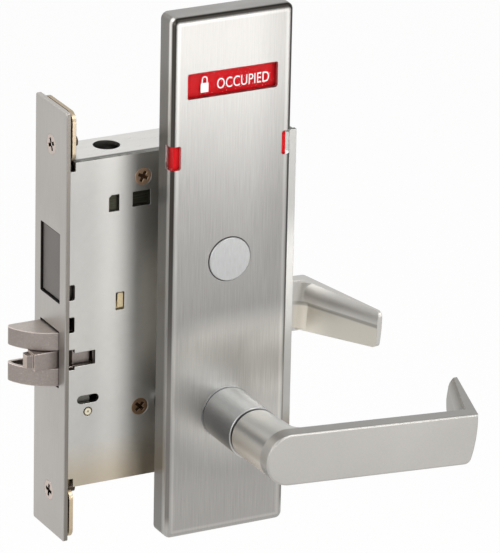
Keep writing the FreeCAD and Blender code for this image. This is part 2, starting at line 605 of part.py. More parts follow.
# Indicator: a slide with a red and a green panel, moved by a crank on the emergency turn
def make_indicator():
    back_y = SLIDE_FRONT + SLIDE_THICK
    sign = box((BACKSET - 25.5, BACKSET + 25.5), (SLIDE_FRONT, back_y), (56.0, SIGN_Z + 7.5))
    flags = box((BACKSET - SLIDE_HALF_WIDTH, BACKSET + SLIDE_HALF_WIDTH), (SLIDE_FRONT, back_y), (58.8, 88.8))
    for side in (-1, 1):
        edge = BACKSET + side * SLIDE_HALF_WIDTH
        inner = BACKSET + side * FLAG_REACH
        front = box(sorted((edge, inner)), (FLAG_FRONT, SLIDE_FRONT), (58.8, 88.8))
        wing = box(sorted((edge, edge - side * SLIDE_THICK)), (FLAG_FRONT, FLAG_DEPTH), (58.8, 88.8))
        flags = union(flags, front, wing)
    jog = box((BACKSET + ARM_X0, BACKSET + ARM_X1), (SLIDE_FRONT, ARM_FRONT + SLIDE_THICK), (56.0, 60.0))
    arm = box((BACKSET + ARM_X0, BACKSET + ARM_X1), (ARM_FRONT, ARM_FRONT + SLIDE_THICK), (17.6, 60.0))
    slide = union(sign, flags, jog, arm)
    pin_x = BACKSET + INDICATOR_STROKE / 2
    pin_z = TURN_Z - INDICATOR_STROKE / 2
    half = CRANK_PIN_R + 0.45
    notch = box((BACKSET + ARM_X0 - 1, BACKSET + CRANK_RADIUS + CRANK_PIN_R + 0.8), (-32, -25),
                (pin_z - half, pin_z + half))
    slide = slide.cut(notch)
    guides = []
    for gx, gz in ((BACKSET - 14, 76.0), (BACKSET + 14, 84.0)):
        slot_z = (gz - INDICATOR_STROKE - 2.3, gz + 2.3)
        slot = box((gx - 2.1, gx + 2.1), (SLIDE_FRONT - 1, back_y + 1), slot_z)
        slide = slide.cut(slot)
        guide = union(rod_y(gx, gz, 2.0, SLIDE_FRONT - 0.3, PLATE_BACK),
                      rod_y(gx, gz, 3.4, SLIDE_FRONT - 0.8, SLIDE_FRONT - 0.3),
                      rod_y(gx, gz, 3.6, back_y + 0.3, PLATE_BACK))
        guides.append(guide)
    keep("indicator_slide", slide)
    keep("indicator_guides", *guides)

    card_y = (SLIDE_FRONT - CARD_THICK, SLIDE_FRONT)
    for name, drop in (("occupied_panel", 0.0), ("vacant_panel", -INDICATOR_STROKE)):
        z = (SIGN_Z - 7.5 + drop, SIGN_Z + 7.5 + drop)
        flag_z = (SIDE_WINDOW_Z - 7.5 + drop, SIDE_WINDOW_Z + 7.5 + drop)
        card = box((BACKSET - 25.0, BACKSET + 25.0), card_y, z)
        corners = []
        for side in (-1, 1):
            edge = BACKSET + side * SLIDE_HALF_WIDTH
            skin = edge + side * CARD_THICK
            inner = BACKSET + side * FLAG_REACH
            front = box(sorted((skin, inner)), (FLAG_FRONT - CARD_THICK, FLAG_FRONT), flag_z)
            wing = box(sorted((skin, edge)), (FLAG_FRONT - CARD_THICK, FLAG_DEPTH), flag_z)
            corners.append(union(front, wing))
        keep(name, card, *corners)

    crank = capsule_y(BACKSET, TURN_Z, pin_x, pin_z, 7.5, 4.0, -27.6, -25.3)
    crank = union(crank, rod_y(pin_x, pin_z, CRANK_PIN_R, -29.6, -27.4))
    keep("indicator_crank", crank.cut(rod_y(BACKSET, TURN_Z, EMERGENCY_SHAFT_R + 0.02, -32, -22)))
    disc = rod_y(BACKSET, TURN_Z, EMERGENCY_R, -35.2, -30.6)
    shaft = rod_y(BACKSET, TURN_Z, EMERGENCY_SHAFT_R, -31.0, -DOOR_FACE)
    turn = union(disc, shaft)
    turn = turn.cut(box((BACKSET - 7, BACKSET + 7), (-36, -33.4), (TURN_Z - 0.9, TURN_Z + 0.9)))
    keep("emergency_turn", turn.cut(square_y(BACKSET, TURN_Z, TURN_SPINDLE + 0.1, -31.0, -20)))
    keep("emergency_spindle", square_y(BACKSET, TURN_Z, TURN_SPINDLE, -30.8, -8.2))

    cap = rod_y(BACKSET, TURN_Z, BUTTON_R, PLATE_FACE - BUTTON_PROUD, PLATE_FACE + 1.0)
    rim = edges_where(cap, lambda e: abs(e.CenterOfMass.y - PLATE_FACE + BUTTON_PROUD) < 1e-6)
    cap = cap.makeChamfer(0.35, rim)
    skirt = ring_y(BACKSET, TURN_Z, EMERGENCY_R + 0.3, BUTTON_R - 0.05, PLATE_FACE + 0.8, -33.0)
    keep("emergency_button", union(cap, skirt))


# Lever: a round neck that flares into a flat blade, and a return bent back to the door
def tangent_point(centre, r, point, side):
    # Where a line from a point touches a circle, above it for side 1 and below it for side -1
    dx = point[0] - centre[0]
    dz = point[1] - centre[1]
    angle = math.atan2(dz, dx) + side * math.acos(r / math.hypot(dx, dz))
    return V(centre[0] + r * math.cos(angle), 0, centre[1] + r * math.sin(angle))


def tip_circle(tip):
    # Radius and centre of the slanted edge at the blade's free end, which bulges a little
    tip_x, z_top, z_low = tip
    height = z_top - z_low
    chord = math.hypot(TIP_SLANT, height)
    radius = (chord ** 2 / 4 + TIP_BULGE ** 2) / (2 * TIP_BULGE)
    centre_x = tip_x - TIP_SLANT / 2 - (radius - TIP_BULGE) * height / chord
    centre_z = (z_top + z_low) / 2 + (radius - TIP_BULGE) * TIP_SLANT / chord
    return radius, centre_x, centre_z


def tip_edge(tip, z):
    radius, centre_x, centre_z = tip_circle(tip)
    return centre_x + math.sqrt(radius ** 2 - (z - centre_z) ** 2)


def lever_outline(tip):
    # Both long sides run on past the tip, and the tip's curve is cut from them later
    tip_x, z_top, z_low = tip
    top_left = tangent_point(BLADE_END, BLADE_END_R, (tip_x, z_top), 1)
    low_left = tangent_point(BLADE_END, BLADE_END_R, (tip_x - TIP_SLANT, z_low), -1)
    top_side = V(tip_x, 0, z_top) - top_left
    low_side = V(tip_x - TIP_SLANT, 0, z_low) - low_left
    top_right = top_left + top_side * (1 + TIP_SPARE / top_side.Length)
    low_right = low_left + low_side * (1 + TIP_SPARE / low_side.Length)
    left = V(BLADE_END[0] - BLADE_END_R, 0, BLADE_END[1])
    return Part.Wire([Part.Arc(low_left, left, top_left).toShape(), Part.makeLine(top_left, top_right),
                      Part.makeLine(top_right, low_right), Part.makeLine(low_right, low_left)])


def return_section(y, outer, z_top, z_low, t_top, t_ridge, t_low, z_ridge, foot, bulge):
    # The outer side is an arc through three X values; the inner side is convex down to a ridge, then flat
    top_x, mid_x, low_x = outer
    top_in = V(top_x - t_top, y, z_top)
    ridge = V(top_x - t_ridge, y, z_ridge)
    belly = V(top_x - (t_top + t_ridge) / 2 - bulge, y, (z_top + z_ridge) / 2)
    low_in = V(low_x - t_low, y, z_low)
    low_out = V(low_x, y, z_low + foot)
    mid_out = V(mid_x, y, (z_top + z_low + foot) / 2)
    top_out = V(top_x, y, z_top)
    edges = [Part.Arc(top_in, belly, ridge).toShape(), Part.makeLine(ridge, low_in),
             Part.makeLine(low_in, low_out), Part.Arc(low_out, mid_out, top_out).toShape(),
             Part.makeLine(top_out, top_in)]
    return Part.Wire(edges)


def nose_limit(face_y, nose):
    # Side view of the free end, as a solid that spans the return in X
    points = [V(100, face_y + along_y, z) for along_y, z in nose]
    start = V(100, face_y - 1, nose[0][1])
    under = V(100, points[5].y, -75)
    back = V(100, face_y - 1, -75)
    edges = [Part.makeLine(start, points[0]), Part.Arc(points[0], points[1], points[2]).toShape(),
             Part.makeLine(points[2], points[3]), Part.Arc(points[3], points[4], points[5]).toShape(),
             Part.makeLine(points[5], under), Part.makeLine(under, back), Part.makeLine(back, start)]
    return Part.Face(Part.Wire(edges)).extrude(V(120, 0, 0))


def stadium(y, x, z, r, reach):
    # A circle about (x, z) stretched by reach along the blade
    u = V(math.cos(BLADE_FALL), 0, -math.sin(BLADE_FALL))
    n = V(math.sin(BLADE_FALL), 0, math.cos(BLADE_FALL))
    near = V(x, y, z)
    far = near + u * reach
    edges = [Part.Arc(near - n * r, near - u * r, near + n * r).toShape(),
             Part.makeLine(near + n * r, far + n * r),
             Part.Arc(far + n * r, far + u * r, far - n * r).toShape(),
             Part.makeLine(far - n * r, near - n * r)]
    return Part.Wire(edges)


def lever_neck(start_y, back_y):
    # Round at the groove, moving over to the blade's end, with a concave flare along the blade
    def section(y):
        share = (start_y - y) / (start_y - back_y)
        x = BACKSET + share * (BLADE_END[0] - BACKSET)
        z = LEVER_Z + share * (BLADE_END[1] - LEVER_Z)
        r = NECK_R + share * (BLADE_END_R - 0.05 - NECK_R)
        rise = FLARE_R - min(y - back_y, FLARE_R)
        reach = NECK_STRETCH + FLARE_R - math.sqrt(FLARE_R ** 2 - rise ** 2)
        return stadium(y, x, z, r, reach)
    flare_y = back_y + FLARE_R
    straight = Part.makeLoft([section(start_y), section(flare_y)], True, True)
    heights = [1.0, 0.8, 0.6, 0.42, 0.27, 0.14, 0.05, 0.0]
    bend = Part.makeLoft([section(back_y + FLARE_R * h) for h in heights], True, False)
    return straight, bend


def return_web(face_y, back_y, length, r, tip, outer, end_low):
    # Concave rounding between the blade's back and the return's inner side
    tip_x, z_top, z_low = tip
    end_y = back_y + r

    def side(y, root_x, end_x):
        share = (y - face_y - 0.9) / (length - 0.9)
        return root_x + share * (end_x - root_x)

    low_z = side(end_y, z_low + 0.2, end_low) + 0.4
    (root_top, _, root_low), (end_top, _, far_low) = outer
    levels = [(z_top, root_top - 5.0, end_top - 1.0), (z_top - 10.0, root_top - 7.4, end_top - 2.5),
              (low_z, root_low - 6.2, far_low - 1.5)]
    wires = []
    for z, root_x, end_x in levels:
        x0 = side(back_y, root_x, end_x) - r
        x1 = side(end_y, root_x, end_x) + 0.02
        start = V(x0, back_y, z)
        middle = V(x0 + 0.7071 * (x1 - x0), back_y + 0.2929 * r, z)
        stop = V(x1, end_y, z)
        deep = V(x1 + 1.0, end_y, z)
        corner = V(x1 + 1.0, back_y - 1.0, z)
        foot = V(x0, back_y - 1.0, z)
        wires.append(Part.Wire([Part.Arc(start, middle, stop).toShape(), Part.makeLine(stop, deep),
                                Part.makeLine(deep, corner), Part.makeLine(corner, foot),
                                Part.makeLine(foot, start)]))
    return Part.makeLoft(wires, True, True)


def lever_shape(groove_y, tip, lever_return, nose, web_r, corner_r):
    # Built on the outside of the door: the blade's face is LEVER_REACH beyond the groove
    face_y = groove_y - LEVER_REACH
    tip_x, z_top, z_low = tip
    wire = lever_outline(tip)
    wire.translate(V(0, face_y, 0))
    blade = Part.Face(wire).extrude(V(0, BLADE_THICK, 0))

    start_y = groove_y - GROOVE
    lead = cone_y(BACKSET, LEVER_Z, NECK_R, NECK_R - 0.25, start_y - 0.25, start_y)
    straight, bend = lever_neck(start_y - 0.25, face_y + BLADE_THICK)
    lever = union(blade, bend, straight, lead)

    radius, centre_x, centre_z = tip_circle(tip)
    depth = (face_y - 1, face_y + BLADE_THICK + 1)
    beyond = box((tip_x - 8, tip_x + 20), depth, (z_low - 6, z_top + 6))
    beyond = beyond.cut(rod_y(centre_x, centre_z, radius, depth[0] - 1, depth[1] + 1))
    lever = lever.cut(beyond)
    low_corner = edges_where(lever, lambda e: along(e, "y") and e.CenterOfMass.z < z_low + 0.1)
    lever = lever.makeFillet(3.5, low_corner)
    rim = edges_where(lever, lambda e: abs(e.CenterOfMass.y - face_y) < 1e-6)
    lever = lever.makeFillet(0.9, rim)

    lean, length, end_low = lever_return
    run = length - 0.9
    foot_z = z_low + 3.2
    end_x = tip_x + lean * run
    inset = 0.08
    root_outer = (tip_x - inset, tip_edge(tip, (z_top + foot_z) / 2) - inset, tip_edge(tip, foot_z) - inset)
    end_outer = (end_x, end_x - 0.1, end_x - 1.0)
    root = return_section(face_y + 0.9, root_outer, z_top, z_low + 0.2, 5.0, 7.4, 6.2, z_top - 10.6, 3.0, 1.3)
    end = return_section(face_y + length, end_outer, z_top, end_low, 1.0, 2.5, 1.5, z_top - 7.2, 0.8, 0.5)
    bent = Part.makeLoft([root, end], True, True)
    bent = bent.common(nose_limit(face_y, nose))
    web = return_web(face_y, face_y + BLADE_THICK, length, web_r, tip, (root_outer, end_outer), end_low)
    lever = union(lever, bent, web)
    if corner_r > 0:
        corner_x = tip_x + lean * corner_r - corner_r
        block = box((corner_x, tip_x + 9), (face_y - 1, face_y + corner_r), (z_low - 5, z_top + 5))
        round_off = block.cut(rod_z(corner_x, face_y + corner_r, corner_r, z_low - 6, z_top + 6))
        lever = lever.cut(round_off)
    return lever


def add_sleeve(lever, groove_y, end_y):
    # The sleeve turns in the collar; a groove near its end takes the retaining ring
    sleeve = rod_y(BACKSET, LEVER_Z, SLEEVE_R, groove_y - 2.0, end_y)
    lever = union(lever, sleeve)
    lever = lever.cut(ring_y(BACKSET, LEVER_Z, SLEEVE_R - 0.9, 20, end_y - 2.4, end_y - 1.2))
    socket = square_y(BACKSET, LEVER_Z, SPINDLE + 0.1, groove_y - 12.0, end_y + 1)
    screw_y = groove_y - 7.0
    lever = lever.cut(socket)
    return lever.cut(rod_z(BACKSET, screw_y, 2.05, LEVER_Z - 20, LEVER_Z))


def set_screw(groove_y):
    screw = rod_z(BACKSET, groove_y - 7.0, 2.0, LEVER_Z - NECK_R + 0.8, LEVER_Z - SPINDLE / 2 - 0.1)
    socket = rod_z(BACKSET, groove_y - 7.0, 1.0, LEVER_Z - 20, LEVER_Z - NECK_R + 3.2)
    return screw.cut(socket)


def mirror_to_inside(shape):
    plane_y = (PLATE_FACE - COLLAR_LENGTH + INSIDE_GROOVE) / 2.0
    return shape.mirror(V(0, plane_y, 0), V(0, 1, 0))


def collar(face_y, groove_y, flange_y):
    # Built on the outside: from the trim's face out to the groove, with a flange behind the face
    body = rod_y(BACKSET, LEVER_Z, COLLAR_R, groove_y, face_y)
    body = body.cut(ring_y(BACKSET, LEVER_Z, COLLAR_R - 0.45, 20, face_y - 1.2, face_y - 0.6))
    lip = rod_y(BACKSET, LEVER_Z, COLLAR_R + 0.25, face_y - 0.6, face_y)
    neck = rod_y(BACKSET, LEVER_Z, COLLAR_NECK_R, face_y - 0.5, flange_y)
    flange = rod_y(BACKSET, LEVER_Z, COLLAR_FLANGE_R, flange_y, flange_y + 1.6)
    end = edges_where(body, lambda e: abs(e.CenterOfMass.y - groove_y) < 1e-6)
    body = body.makeChamfer(0.25, end)
    whole = union(body, lip, neck, flange)
    return whole.cut(rod_y(BACKSET, LEVER_Z, COLLAR_BORE_R, groove_y - 5, flange_y + 9))


def make_outside_lever():
    groove_y = PLATE_FACE - COLLAR_LENGTH
    flange_y = PLATE_FACE + PLATE_WALL
    sleeve_end = flange_y + 1.6 + 2.6
    keep("outside_collar", collar(PLATE_FACE, groove_y, flange_y))
    lever = lever_shape(groove_y, OUT_TIP, OUT_RETURN, OUT_NOSE, 1.6, 0.0)
    keep("outside_lever", add_sleeve(lever, groove_y, sleeve_end))
    keep("outside_set_screw", set_screw(groove_y))
    keep("outside_retaining_ring",
         ring_y(BACKSET, LEVER_Z, SLEEVE_R - 0.85, 11.3, sleeve_end - 2.35, sleeve_end - 1.25))
    keep("outside_spindle", square_y(BACKSET, LEVER_Z, SPINDLE, groove_y - 11.5, -2.2))
    spring_base = V(BACKSET, sleeve_end + 0.7, LEVER_Z)
    keep("outside_lever_spring", coil(8.2, 1.0, 1.9, 2, spring_base, V(0, 1, 0)))


def make_inside_lever():
    groove_y = PLATE_FACE - COLLAR_LENGTH
    plane_sum = groove_y + INSIDE_GROOVE
    face_y = plane_sum - ROSE_FACE
    flange_y = face_y + 2.0
    sleeve_end = flange_y + 1.6 + 2.6
    keep("inside_collar", mirror_to_inside(collar(face_y, groove_y, flange_y)))
    lever = lever_shape(groove_y, IN_TIP, IN_RETURN, IN_NOSE, 9.0, 4.0)
    keep("inside_lever", mirror_to_inside(add_sleeve(lever, groove_y, sleeve_end)))
    keep("inside_set_screw", mirror_to_inside(set_screw(groove_y)))
    ring = ring_y(BACKSET, LEVER_Z, SLEEVE_R - 0.85, 11.3, sleeve_end - 2.35, sleeve_end - 1.25)
    keep("inside_retaining_ring", mirror_to_inside(ring))
    keep("inside_spindle", square_y(BACKSET, LEVER_Z, SPINDLE, 2.2, INSIDE_GROOVE + 11.5))
    keep("inside_lever_spring", coil(8.2, 0.9, 1.1, 2, V(BACKSET, DOOR_FACE + 0.9, LEVER_Z), V(0, 1, 0)))


def make_roses():
    cover = rod_y(BACKSET, LEVER_Z, ROSE_R, DOOR_FACE, ROSE_FACE)
    rim = edges_where(cover, lambda e: abs(e.CenterOfMass.y - ROSE_FACE) < 1e-6)
    cover = cover.makeFillet(2.0, rim)
    cover = cover.cut(rod_y(BACKSET, LEVER_Z, ROSE_R - 2.0, DOOR_FACE - 1, ROSE_FACE - 2.0))
    cover = cover.cut(rod_y(BACKSET, LEVER_Z, COLLAR_NECK_R + RUNNING, 20, 40))
    keep("inside_rose", cover)
    plate_y = (DOOR_FACE, DOOR_FACE + ROSE_PLATE_THICK)
    plate = rod_y(BACKSET, LEVER_Z, ROSE_PLATE_R, *plate_y)
    plate = plate.cut(rod_y(BACKSET, LEVER_Z, 11.5, 20, 40))
    turn_cover = rod_y(BACKSET, TURN_Z, TURN_ROSE_R, DOOR_FACE, TURN_ROSE_FACE)
    rim = edges_where(turn_cover, lambda e: abs(e.CenterOfMass.y - TURN_ROSE_FACE) < 1e-6)
    turn_cover = turn_cover.makeFillet(2.0, rim)
    turn_cover = turn_cover.cut(rod_y(BACKSET, TURN_Z, TURN_ROSE_R - 1.5, DOOR_FACE - 1, TURN_ROSE_FACE - 1.5))
    turn_cover = turn_cover.cut(rod_y(BACKSET, TURN_Z, 6.0 + RUNNING, 20, 40))
    keep("thumbturn_rose", turn_cover)
    turn_plate = rod_y(BACKSET, TURN_Z, TURN_ROSE_R - 2.0, *plate_y)
    turn_plate = turn_plate.cut(rod_y(BACKSET, TURN_Z, 6.5, 20, 40))
    bolts = []
    for x, z in trim_bolt_places():
        hole = rod_y(x, z, SCREW_SHANK_R + 0.2, 20, 40)
        plate = plate.cut(hole)
        turn_plate = turn_plate.cut(hole)
        head = rod_y(x, z, 4.0, plate_y[1], plate_y[1] + 2.4)
        bolt = union(head, rod_y(x, z, SCREW_SHANK_R, -19.0, plate_y[1]))
        bolts.append(bolt.cut(cross_recess(x, plate_y[1] + 2.4, z, V(0, 1, 0), 4.6, 0.7, 1.4)))
    keep("inside_rose_plate", plate)
    keep("thumbturn_rose_plate", turn_plate)
    keep("trim_bolts", *bolts)


def make_thumbturn():
    stem = rod_y(BACKSET, TURN_Z, 6.0, DOOR_FACE + 0.5, TURN_ROSE_FACE + 7.0)
    collar_ring = rod_y(BACKSET, TURN_Z, 8.0, TURN_ROSE_FACE + 0.5, TURN_ROSE_FACE + 3.5)
    paddle = rounded_box((BACKSET - 5.5, BACKSET + 5.5), (TURN_ROSE_FACE + 3.0, TURN_ROSE_FACE + 21.0),
                         (TURN_Z - 17.0, TURN_Z + 17.0), "x", 8.0)
    rim = edges_where(paddle, lambda e: abs(abs(e.CenterOfMass.x - BACKSET) - 5.5) < 1e-6)
    paddle = paddle.makeFillet(2.0, rim)
    turn = union(stem, collar_ring, paddle)
    keep("thumbturn", turn.cut(square_y(BACKSET, TURN_Z, TURN_SPINDLE + 0.1, 20, TURN_ROSE_FACE + 6.0)))
    keep("thumbturn_spindle", square_y(BACKSET, TURN_Z, TURN_SPINDLE, 3.6, TURN_ROSE_FACE + 5.8))


make_front()
make_case()
make_cover()
make_latch()
make_deadbolt()
make_hubs()
make_catch()
make_escutcheon()
make_indicator()
make_outside_lever()
make_inside_lever()
make_roses()
make_thumbturn()

os.makedirs("parts", exist_ok=True)
for name, shape in NODES.items():
    shape.exportStep(f"parts/{name}.step")
    box_of = shape.BoundBox
    print(name, len(shape.Solids), "solids", "valid" if shape.isValid() else "NOT VALID",
          [round(v, 1) for v in (box_of.XMin, box_of.XMax, box_of.YMin, box_of.YMax, box_of.ZMin, box_of.ZMax)])
print(len(NODES), "nodes")
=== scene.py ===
import math

import bpy
from mathutils import Matrix, Vector


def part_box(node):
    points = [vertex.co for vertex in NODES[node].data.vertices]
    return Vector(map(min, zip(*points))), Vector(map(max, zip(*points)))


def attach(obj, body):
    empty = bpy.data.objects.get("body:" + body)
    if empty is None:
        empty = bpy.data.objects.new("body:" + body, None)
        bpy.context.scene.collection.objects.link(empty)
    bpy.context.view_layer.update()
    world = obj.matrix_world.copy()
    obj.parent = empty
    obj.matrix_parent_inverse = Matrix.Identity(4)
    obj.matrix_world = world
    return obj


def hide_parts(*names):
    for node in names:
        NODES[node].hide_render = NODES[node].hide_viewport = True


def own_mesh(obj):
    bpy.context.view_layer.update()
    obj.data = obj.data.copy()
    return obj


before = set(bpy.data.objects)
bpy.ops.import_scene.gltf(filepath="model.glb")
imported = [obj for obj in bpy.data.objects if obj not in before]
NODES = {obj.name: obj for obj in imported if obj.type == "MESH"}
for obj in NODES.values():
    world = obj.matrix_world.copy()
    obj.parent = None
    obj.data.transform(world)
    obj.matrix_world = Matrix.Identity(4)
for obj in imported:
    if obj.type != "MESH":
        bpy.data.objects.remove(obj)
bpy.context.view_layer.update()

# The camera, at the angle and distance from which the photograph was taken
IMAGE_WIDTH = 500
IMAGE_HEIGHT = 553
SENSOR = 36.0
CAMERA_AZIMUTH = -27.649
CAMERA_ELEVATION = 21.336
CAMERA_ROLL = 1.23
CAMERA_DISTANCE = 2.457585
CAMERA_CLIP_START = 0.05
CAMERA_CLIP_END = 50.0
FOCAL_PIXELS = 5493.464
AIM_POINT = Vector((0.060, 0.0, 0.0))
AIM_PIXEL = (171.13, 298.66)


def make_camera():
    azimuth = math.radians(CAMERA_AZIMUTH)
    elevation = math.radians(CAMERA_ELEVATION)
    roll = math.radians(CAMERA_ROLL)
    back = Vector((math.sin(azimuth) * math.cos(elevation), -math.cos(azimuth) * math.cos(elevation),
                   math.sin(elevation)))
    right = (-back).cross(Vector((0, 0, 1))).normalized()
    down = -right.cross(-back)
    right_rolled = right * math.cos(roll) - down * math.sin(roll)
    down_rolled = right * math.sin(roll) + down * math.cos(roll)
    across = (AIM_PIXEL[0] - IMAGE_WIDTH / 2) / FOCAL_PIXELS * CAMERA_DISTANCE
    below = (AIM_PIXEL[1] - IMAGE_HEIGHT / 2) / FOCAL_PIXELS * CAMERA_DISTANCE
    place = AIM_POINT - right_rolled * across - down_rolled * below + back * CAMERA_DISTANCE
    data = bpy.data.cameras.new("camera")
    data.sensor_width = SENSOR
    data.lens = SENSOR * FOCAL_PIXELS / IMAGE_HEIGHT
    data.clip_start = CAMERA_CLIP_START
    data.clip_end = CAMERA_CLIP_END
    camera = bpy.data.objects.new("camera", data)
    axes = Matrix((right_rolled, -down_rolled, back)).transposed().to_4x4()
    camera.matrix_world = Matrix.Translation(place) @ axes
    bpy.context.scene.collection.objects.link(camera)
    bpy.context.scene.camera = camera


# Materials
WHITE = (1, 1, 1)
EVEN = (1, 1, 1)


class Nodes:
    """One material with its shader, and helpers that add nodes to it and link them."""

    def __init__(self, name):
        self.material = bpy.data.materials.new(name)
        self.material.use_nodes = True
        self.tree = self.material.node_tree
        self.tree.nodes.clear()
        self.shader = self.add("ShaderNodeBsdfPrincipled")
        self.out = self.add("ShaderNodeOutputMaterial")
        self.join(self.shader.outputs["BSDF"], self.out.inputs["Surface"])
        self.coords = self.add("ShaderNodeTexCoord")
        self.parts = {}

    def add(self, kind, **values):
        node = self.tree.nodes.new(kind)
        for key, value in values.items():
            setattr(node, key, value)
        return node

    def join(self, source, socket):
        self.tree.links.new(source, socket)

    def noise(self, scale, stretch=EVEN, detail=3.0, rough=0.5):
        mapping = self.add("ShaderNodeMapping")
        mapping.inputs["Scale"].default_value = stretch
        self.join(self.coords.outputs["Object"], mapping.inputs["Vector"])
        noise = self.add("ShaderNodeTexNoise")
        noise.inputs["Scale"].default_value = scale
        noise.inputs["Detail"].default_value = detail
        noise.inputs["Roughness"].default_value = rough
        self.join(mapping.outputs["Vector"], noise.inputs["Vector"])
        return noise.outputs["Fac"]

    def ramp(self, source, low, high, start=0.3, end=0.7):
        """A colour that runs from one to another as a value rises."""
        ramp = self.add("ShaderNodeValToRGB")
        ramp.color_ramp.elements[0].position = start
        ramp.color_ramp.elements[1].position = end
        ramp.color_ramp.elements[0].color = (*low, 1)
        ramp.color_ramp.elements[1].color = (*high, 1)
        self.join(source, ramp.inputs["Fac"])
        return ramp.outputs["Color"]

    def range(self, source, low, high, from_low=0.25, from_high=0.75, smooth=False):
        """A value that runs from low to high as another rises."""
        span = self.add("ShaderNodeMapRange")
        span.interpolation_type = "SMOOTHSTEP" if smooth else "LINEAR"
        span.inputs["From Min"].default_value = from_low
        span.inputs["From Max"].default_value = from_high
        span.inputs["To Min"].default_value = low
        span.inputs["To Max"].default_value = high
        self.join(source, span.inputs["Value"])
        return span.outputs["Result"]

    def rise(self, value, low, high):
        """A mask that rises softly from 0 to 1 between two values."""
        return self.range(value, 0.0, 1.0, low, high, smooth=True)

    def fall(self, value, low, high):
        """A mask that falls softly from 1 to 0 between two values."""
        return self.range(value, 1.0, 0.0, low, high, smooth=True)

    def mix(self, mode, factor, a, b):
        """Mixes two colours. The factor is a number or a mask, the second colour a triple or a link."""
        mix = self.add("ShaderNodeMix", data_type="RGBA", blend_type=mode)
        if isinstance(factor, float):
            mix.inputs["Factor"].default_value = factor
        else:
            self.join(factor, mix.inputs["Factor"])
        self.join(a, mix.inputs["A"])
        if isinstance(b, tuple):
            mix.inputs["B"].default_value = (*b, 1)
        else:
            self.join(b, mix.inputs["B"])
        return mix.outputs["Result"]

    def tints(self, base, *layers):
        """Multiplies a colour by each layer's own where that layer's mask is 1."""
        for mask, colour in layers:
            base = self.mix("MULTIPLY", mask, base, colour)
        return base

    def maths(self, operation, a, b):
        node = self.add("ShaderNodeMath", operation=operation)
        for socket, value in zip(node.inputs, (a, b)):
            if isinstance(value, (int, float)):
                socket.default_value = value
            else:
                self.join(value, socket)
        return node.outputs["Value"]

    def vector(self, operation, a, b=None):
        node = self.add("ShaderNodeVectorMath", operation=operation)
        for socket, value in zip(node.inputs, (a, b)):
            if isinstance(value, tuple):
                socket.default_value = value
            elif value is not None:
                self.join(value, socket)
        return node

    def both(self, a, b):
        return self.maths("MULTIPLY", a, b)

    def size(self, value):
        return self.maths("ABSOLUTE", value, 0.0)

    def part(self, output, axis):
        """One axis of the object's own coordinates or normal."""
        if output not in self.parts:
            split = self.add("ShaderNodeSeparateXYZ")
            self.join(self.coords.outputs[output], split.inputs["Vector"])
            self.parts[output] = split
        return self.parts[output].outputs[axis]

    def at(self, axis, low, high):
        """A mask that rises along an axis of the object, between two places in metres."""
        return self.rise(self.part("Object", axis), low, high)

    def until(self, axis, low, high):
        """A mask that falls along an axis of the object, between two places in metres."""
        return self.fall(self.part("Object", axis), low, high)

    def facing(self, axis, low, high):
        """A mask that rises with the share of the surface's normal along an axis."""
        return self.rise(self.part("Normal", axis), low, high)

    def away(self, axis, low, high):
        """A mask that rises as the surface's normal turns against an axis."""
        return self.fall(self.part("Normal", axis), -high, -low)

    def sideways(self, axis, low, high):
        """A mask that rises as the surface's normal lies along an axis, either way."""
        return self.rise(self.size(self.part("Normal", axis)), low, high)

    def across(self, axis, low, high):
        """A mask that falls as the surface's normal lies along an axis, either way."""
        return self.fall(self.size(self.part("Normal", axis)), low, high)

    def between(self, value, low, high, soft):
        """A band that is 1 between two values, with soft borders."""
        return self.both(self.rise(value, low - soft, low + soft), self.fall(value, high - soft, high + soft))

    def distance(self, place):
        """How far the surface is from a place on the object, in metres."""
        return self.vector("DISTANCE", self.coords.outputs["Object"], place).outputs["Value"]

    def near(self, place, reach):
        """A mask around a place on the object."""
        return self.fall(self.distance(place), reach * 0.5, reach)

    def inset(self, centre, half, radius):
        """Distance in from the outline of a rounded rectangle in X and Z."""
        flat = self.vector("MULTIPLY", self.coords.outputs["Object"], (1, 0, 1)).outputs["Vector"]
        moved = self.vector("SUBTRACT", flat, (centre[0], 0, centre[1])).outputs["Vector"]
        size = self.vector("ABSOLUTE", moved).outputs["Vector"]
        corner = (half[0] - radius, 0, half[1] - radius)
        over = self.vector("SUBTRACT", size, corner).outputs["Vector"]
        outer = self.vector("MAXIMUM", over, (0, 0, 0)).outputs["Vector"]
        length = self.vector("LENGTH", outer).outputs["Value"]
        split = self.add("ShaderNodeSeparateXYZ")
        self.join(over, split.inputs["Vector"])
        inner = self.maths("MINIMUM", self.maths("MAXIMUM", split.outputs["X"], split.outputs["Z"]), 0.0)
        return self.maths("SUBTRACT", radius, self.maths("ADD", length, inner))

    def bump(self, height, strength, distance, under=None):
        """Raises the shader's normal by a value, over a rounded normal where one is given."""
        bump = self.add("ShaderNodeBump")
        bump.inputs["Strength"].default_value = strength
        bump.inputs["Distance"].default_value = distance
        self.join(height, bump.inputs["Height"])
        if under:
            self.join(under, bump.inputs["Normal"])
        self.join(bump.outputs["Normal"], self.shader.inputs["Normal"])


def scaled(colour, factor):
    return tuple(min(1.0, c * factor) for c in colour)


def grey(value):
    return (value,) * 3


# Metals: where the grain's noise turns from dark to light, and how far the grain lifts the face, in metres
GRAIN_TONES = (0.32, 0.68)
GRAIN_LIFT = 0.0002
# The cloudy change of tone over a metal
CLOUD_SCALE = 25
# How sharply an edge turns where it is rubbed and given a painted highlight, and where that stops, as the cosine
# between true and rounded normal
RUBBED_TURN = (0.80, 0.995)
# The grit of cast faces is finer than their grain, and lies only where its noise is high
GRIT_FINER = 1.7
GRIT_TONES = (0.35, 0.75)
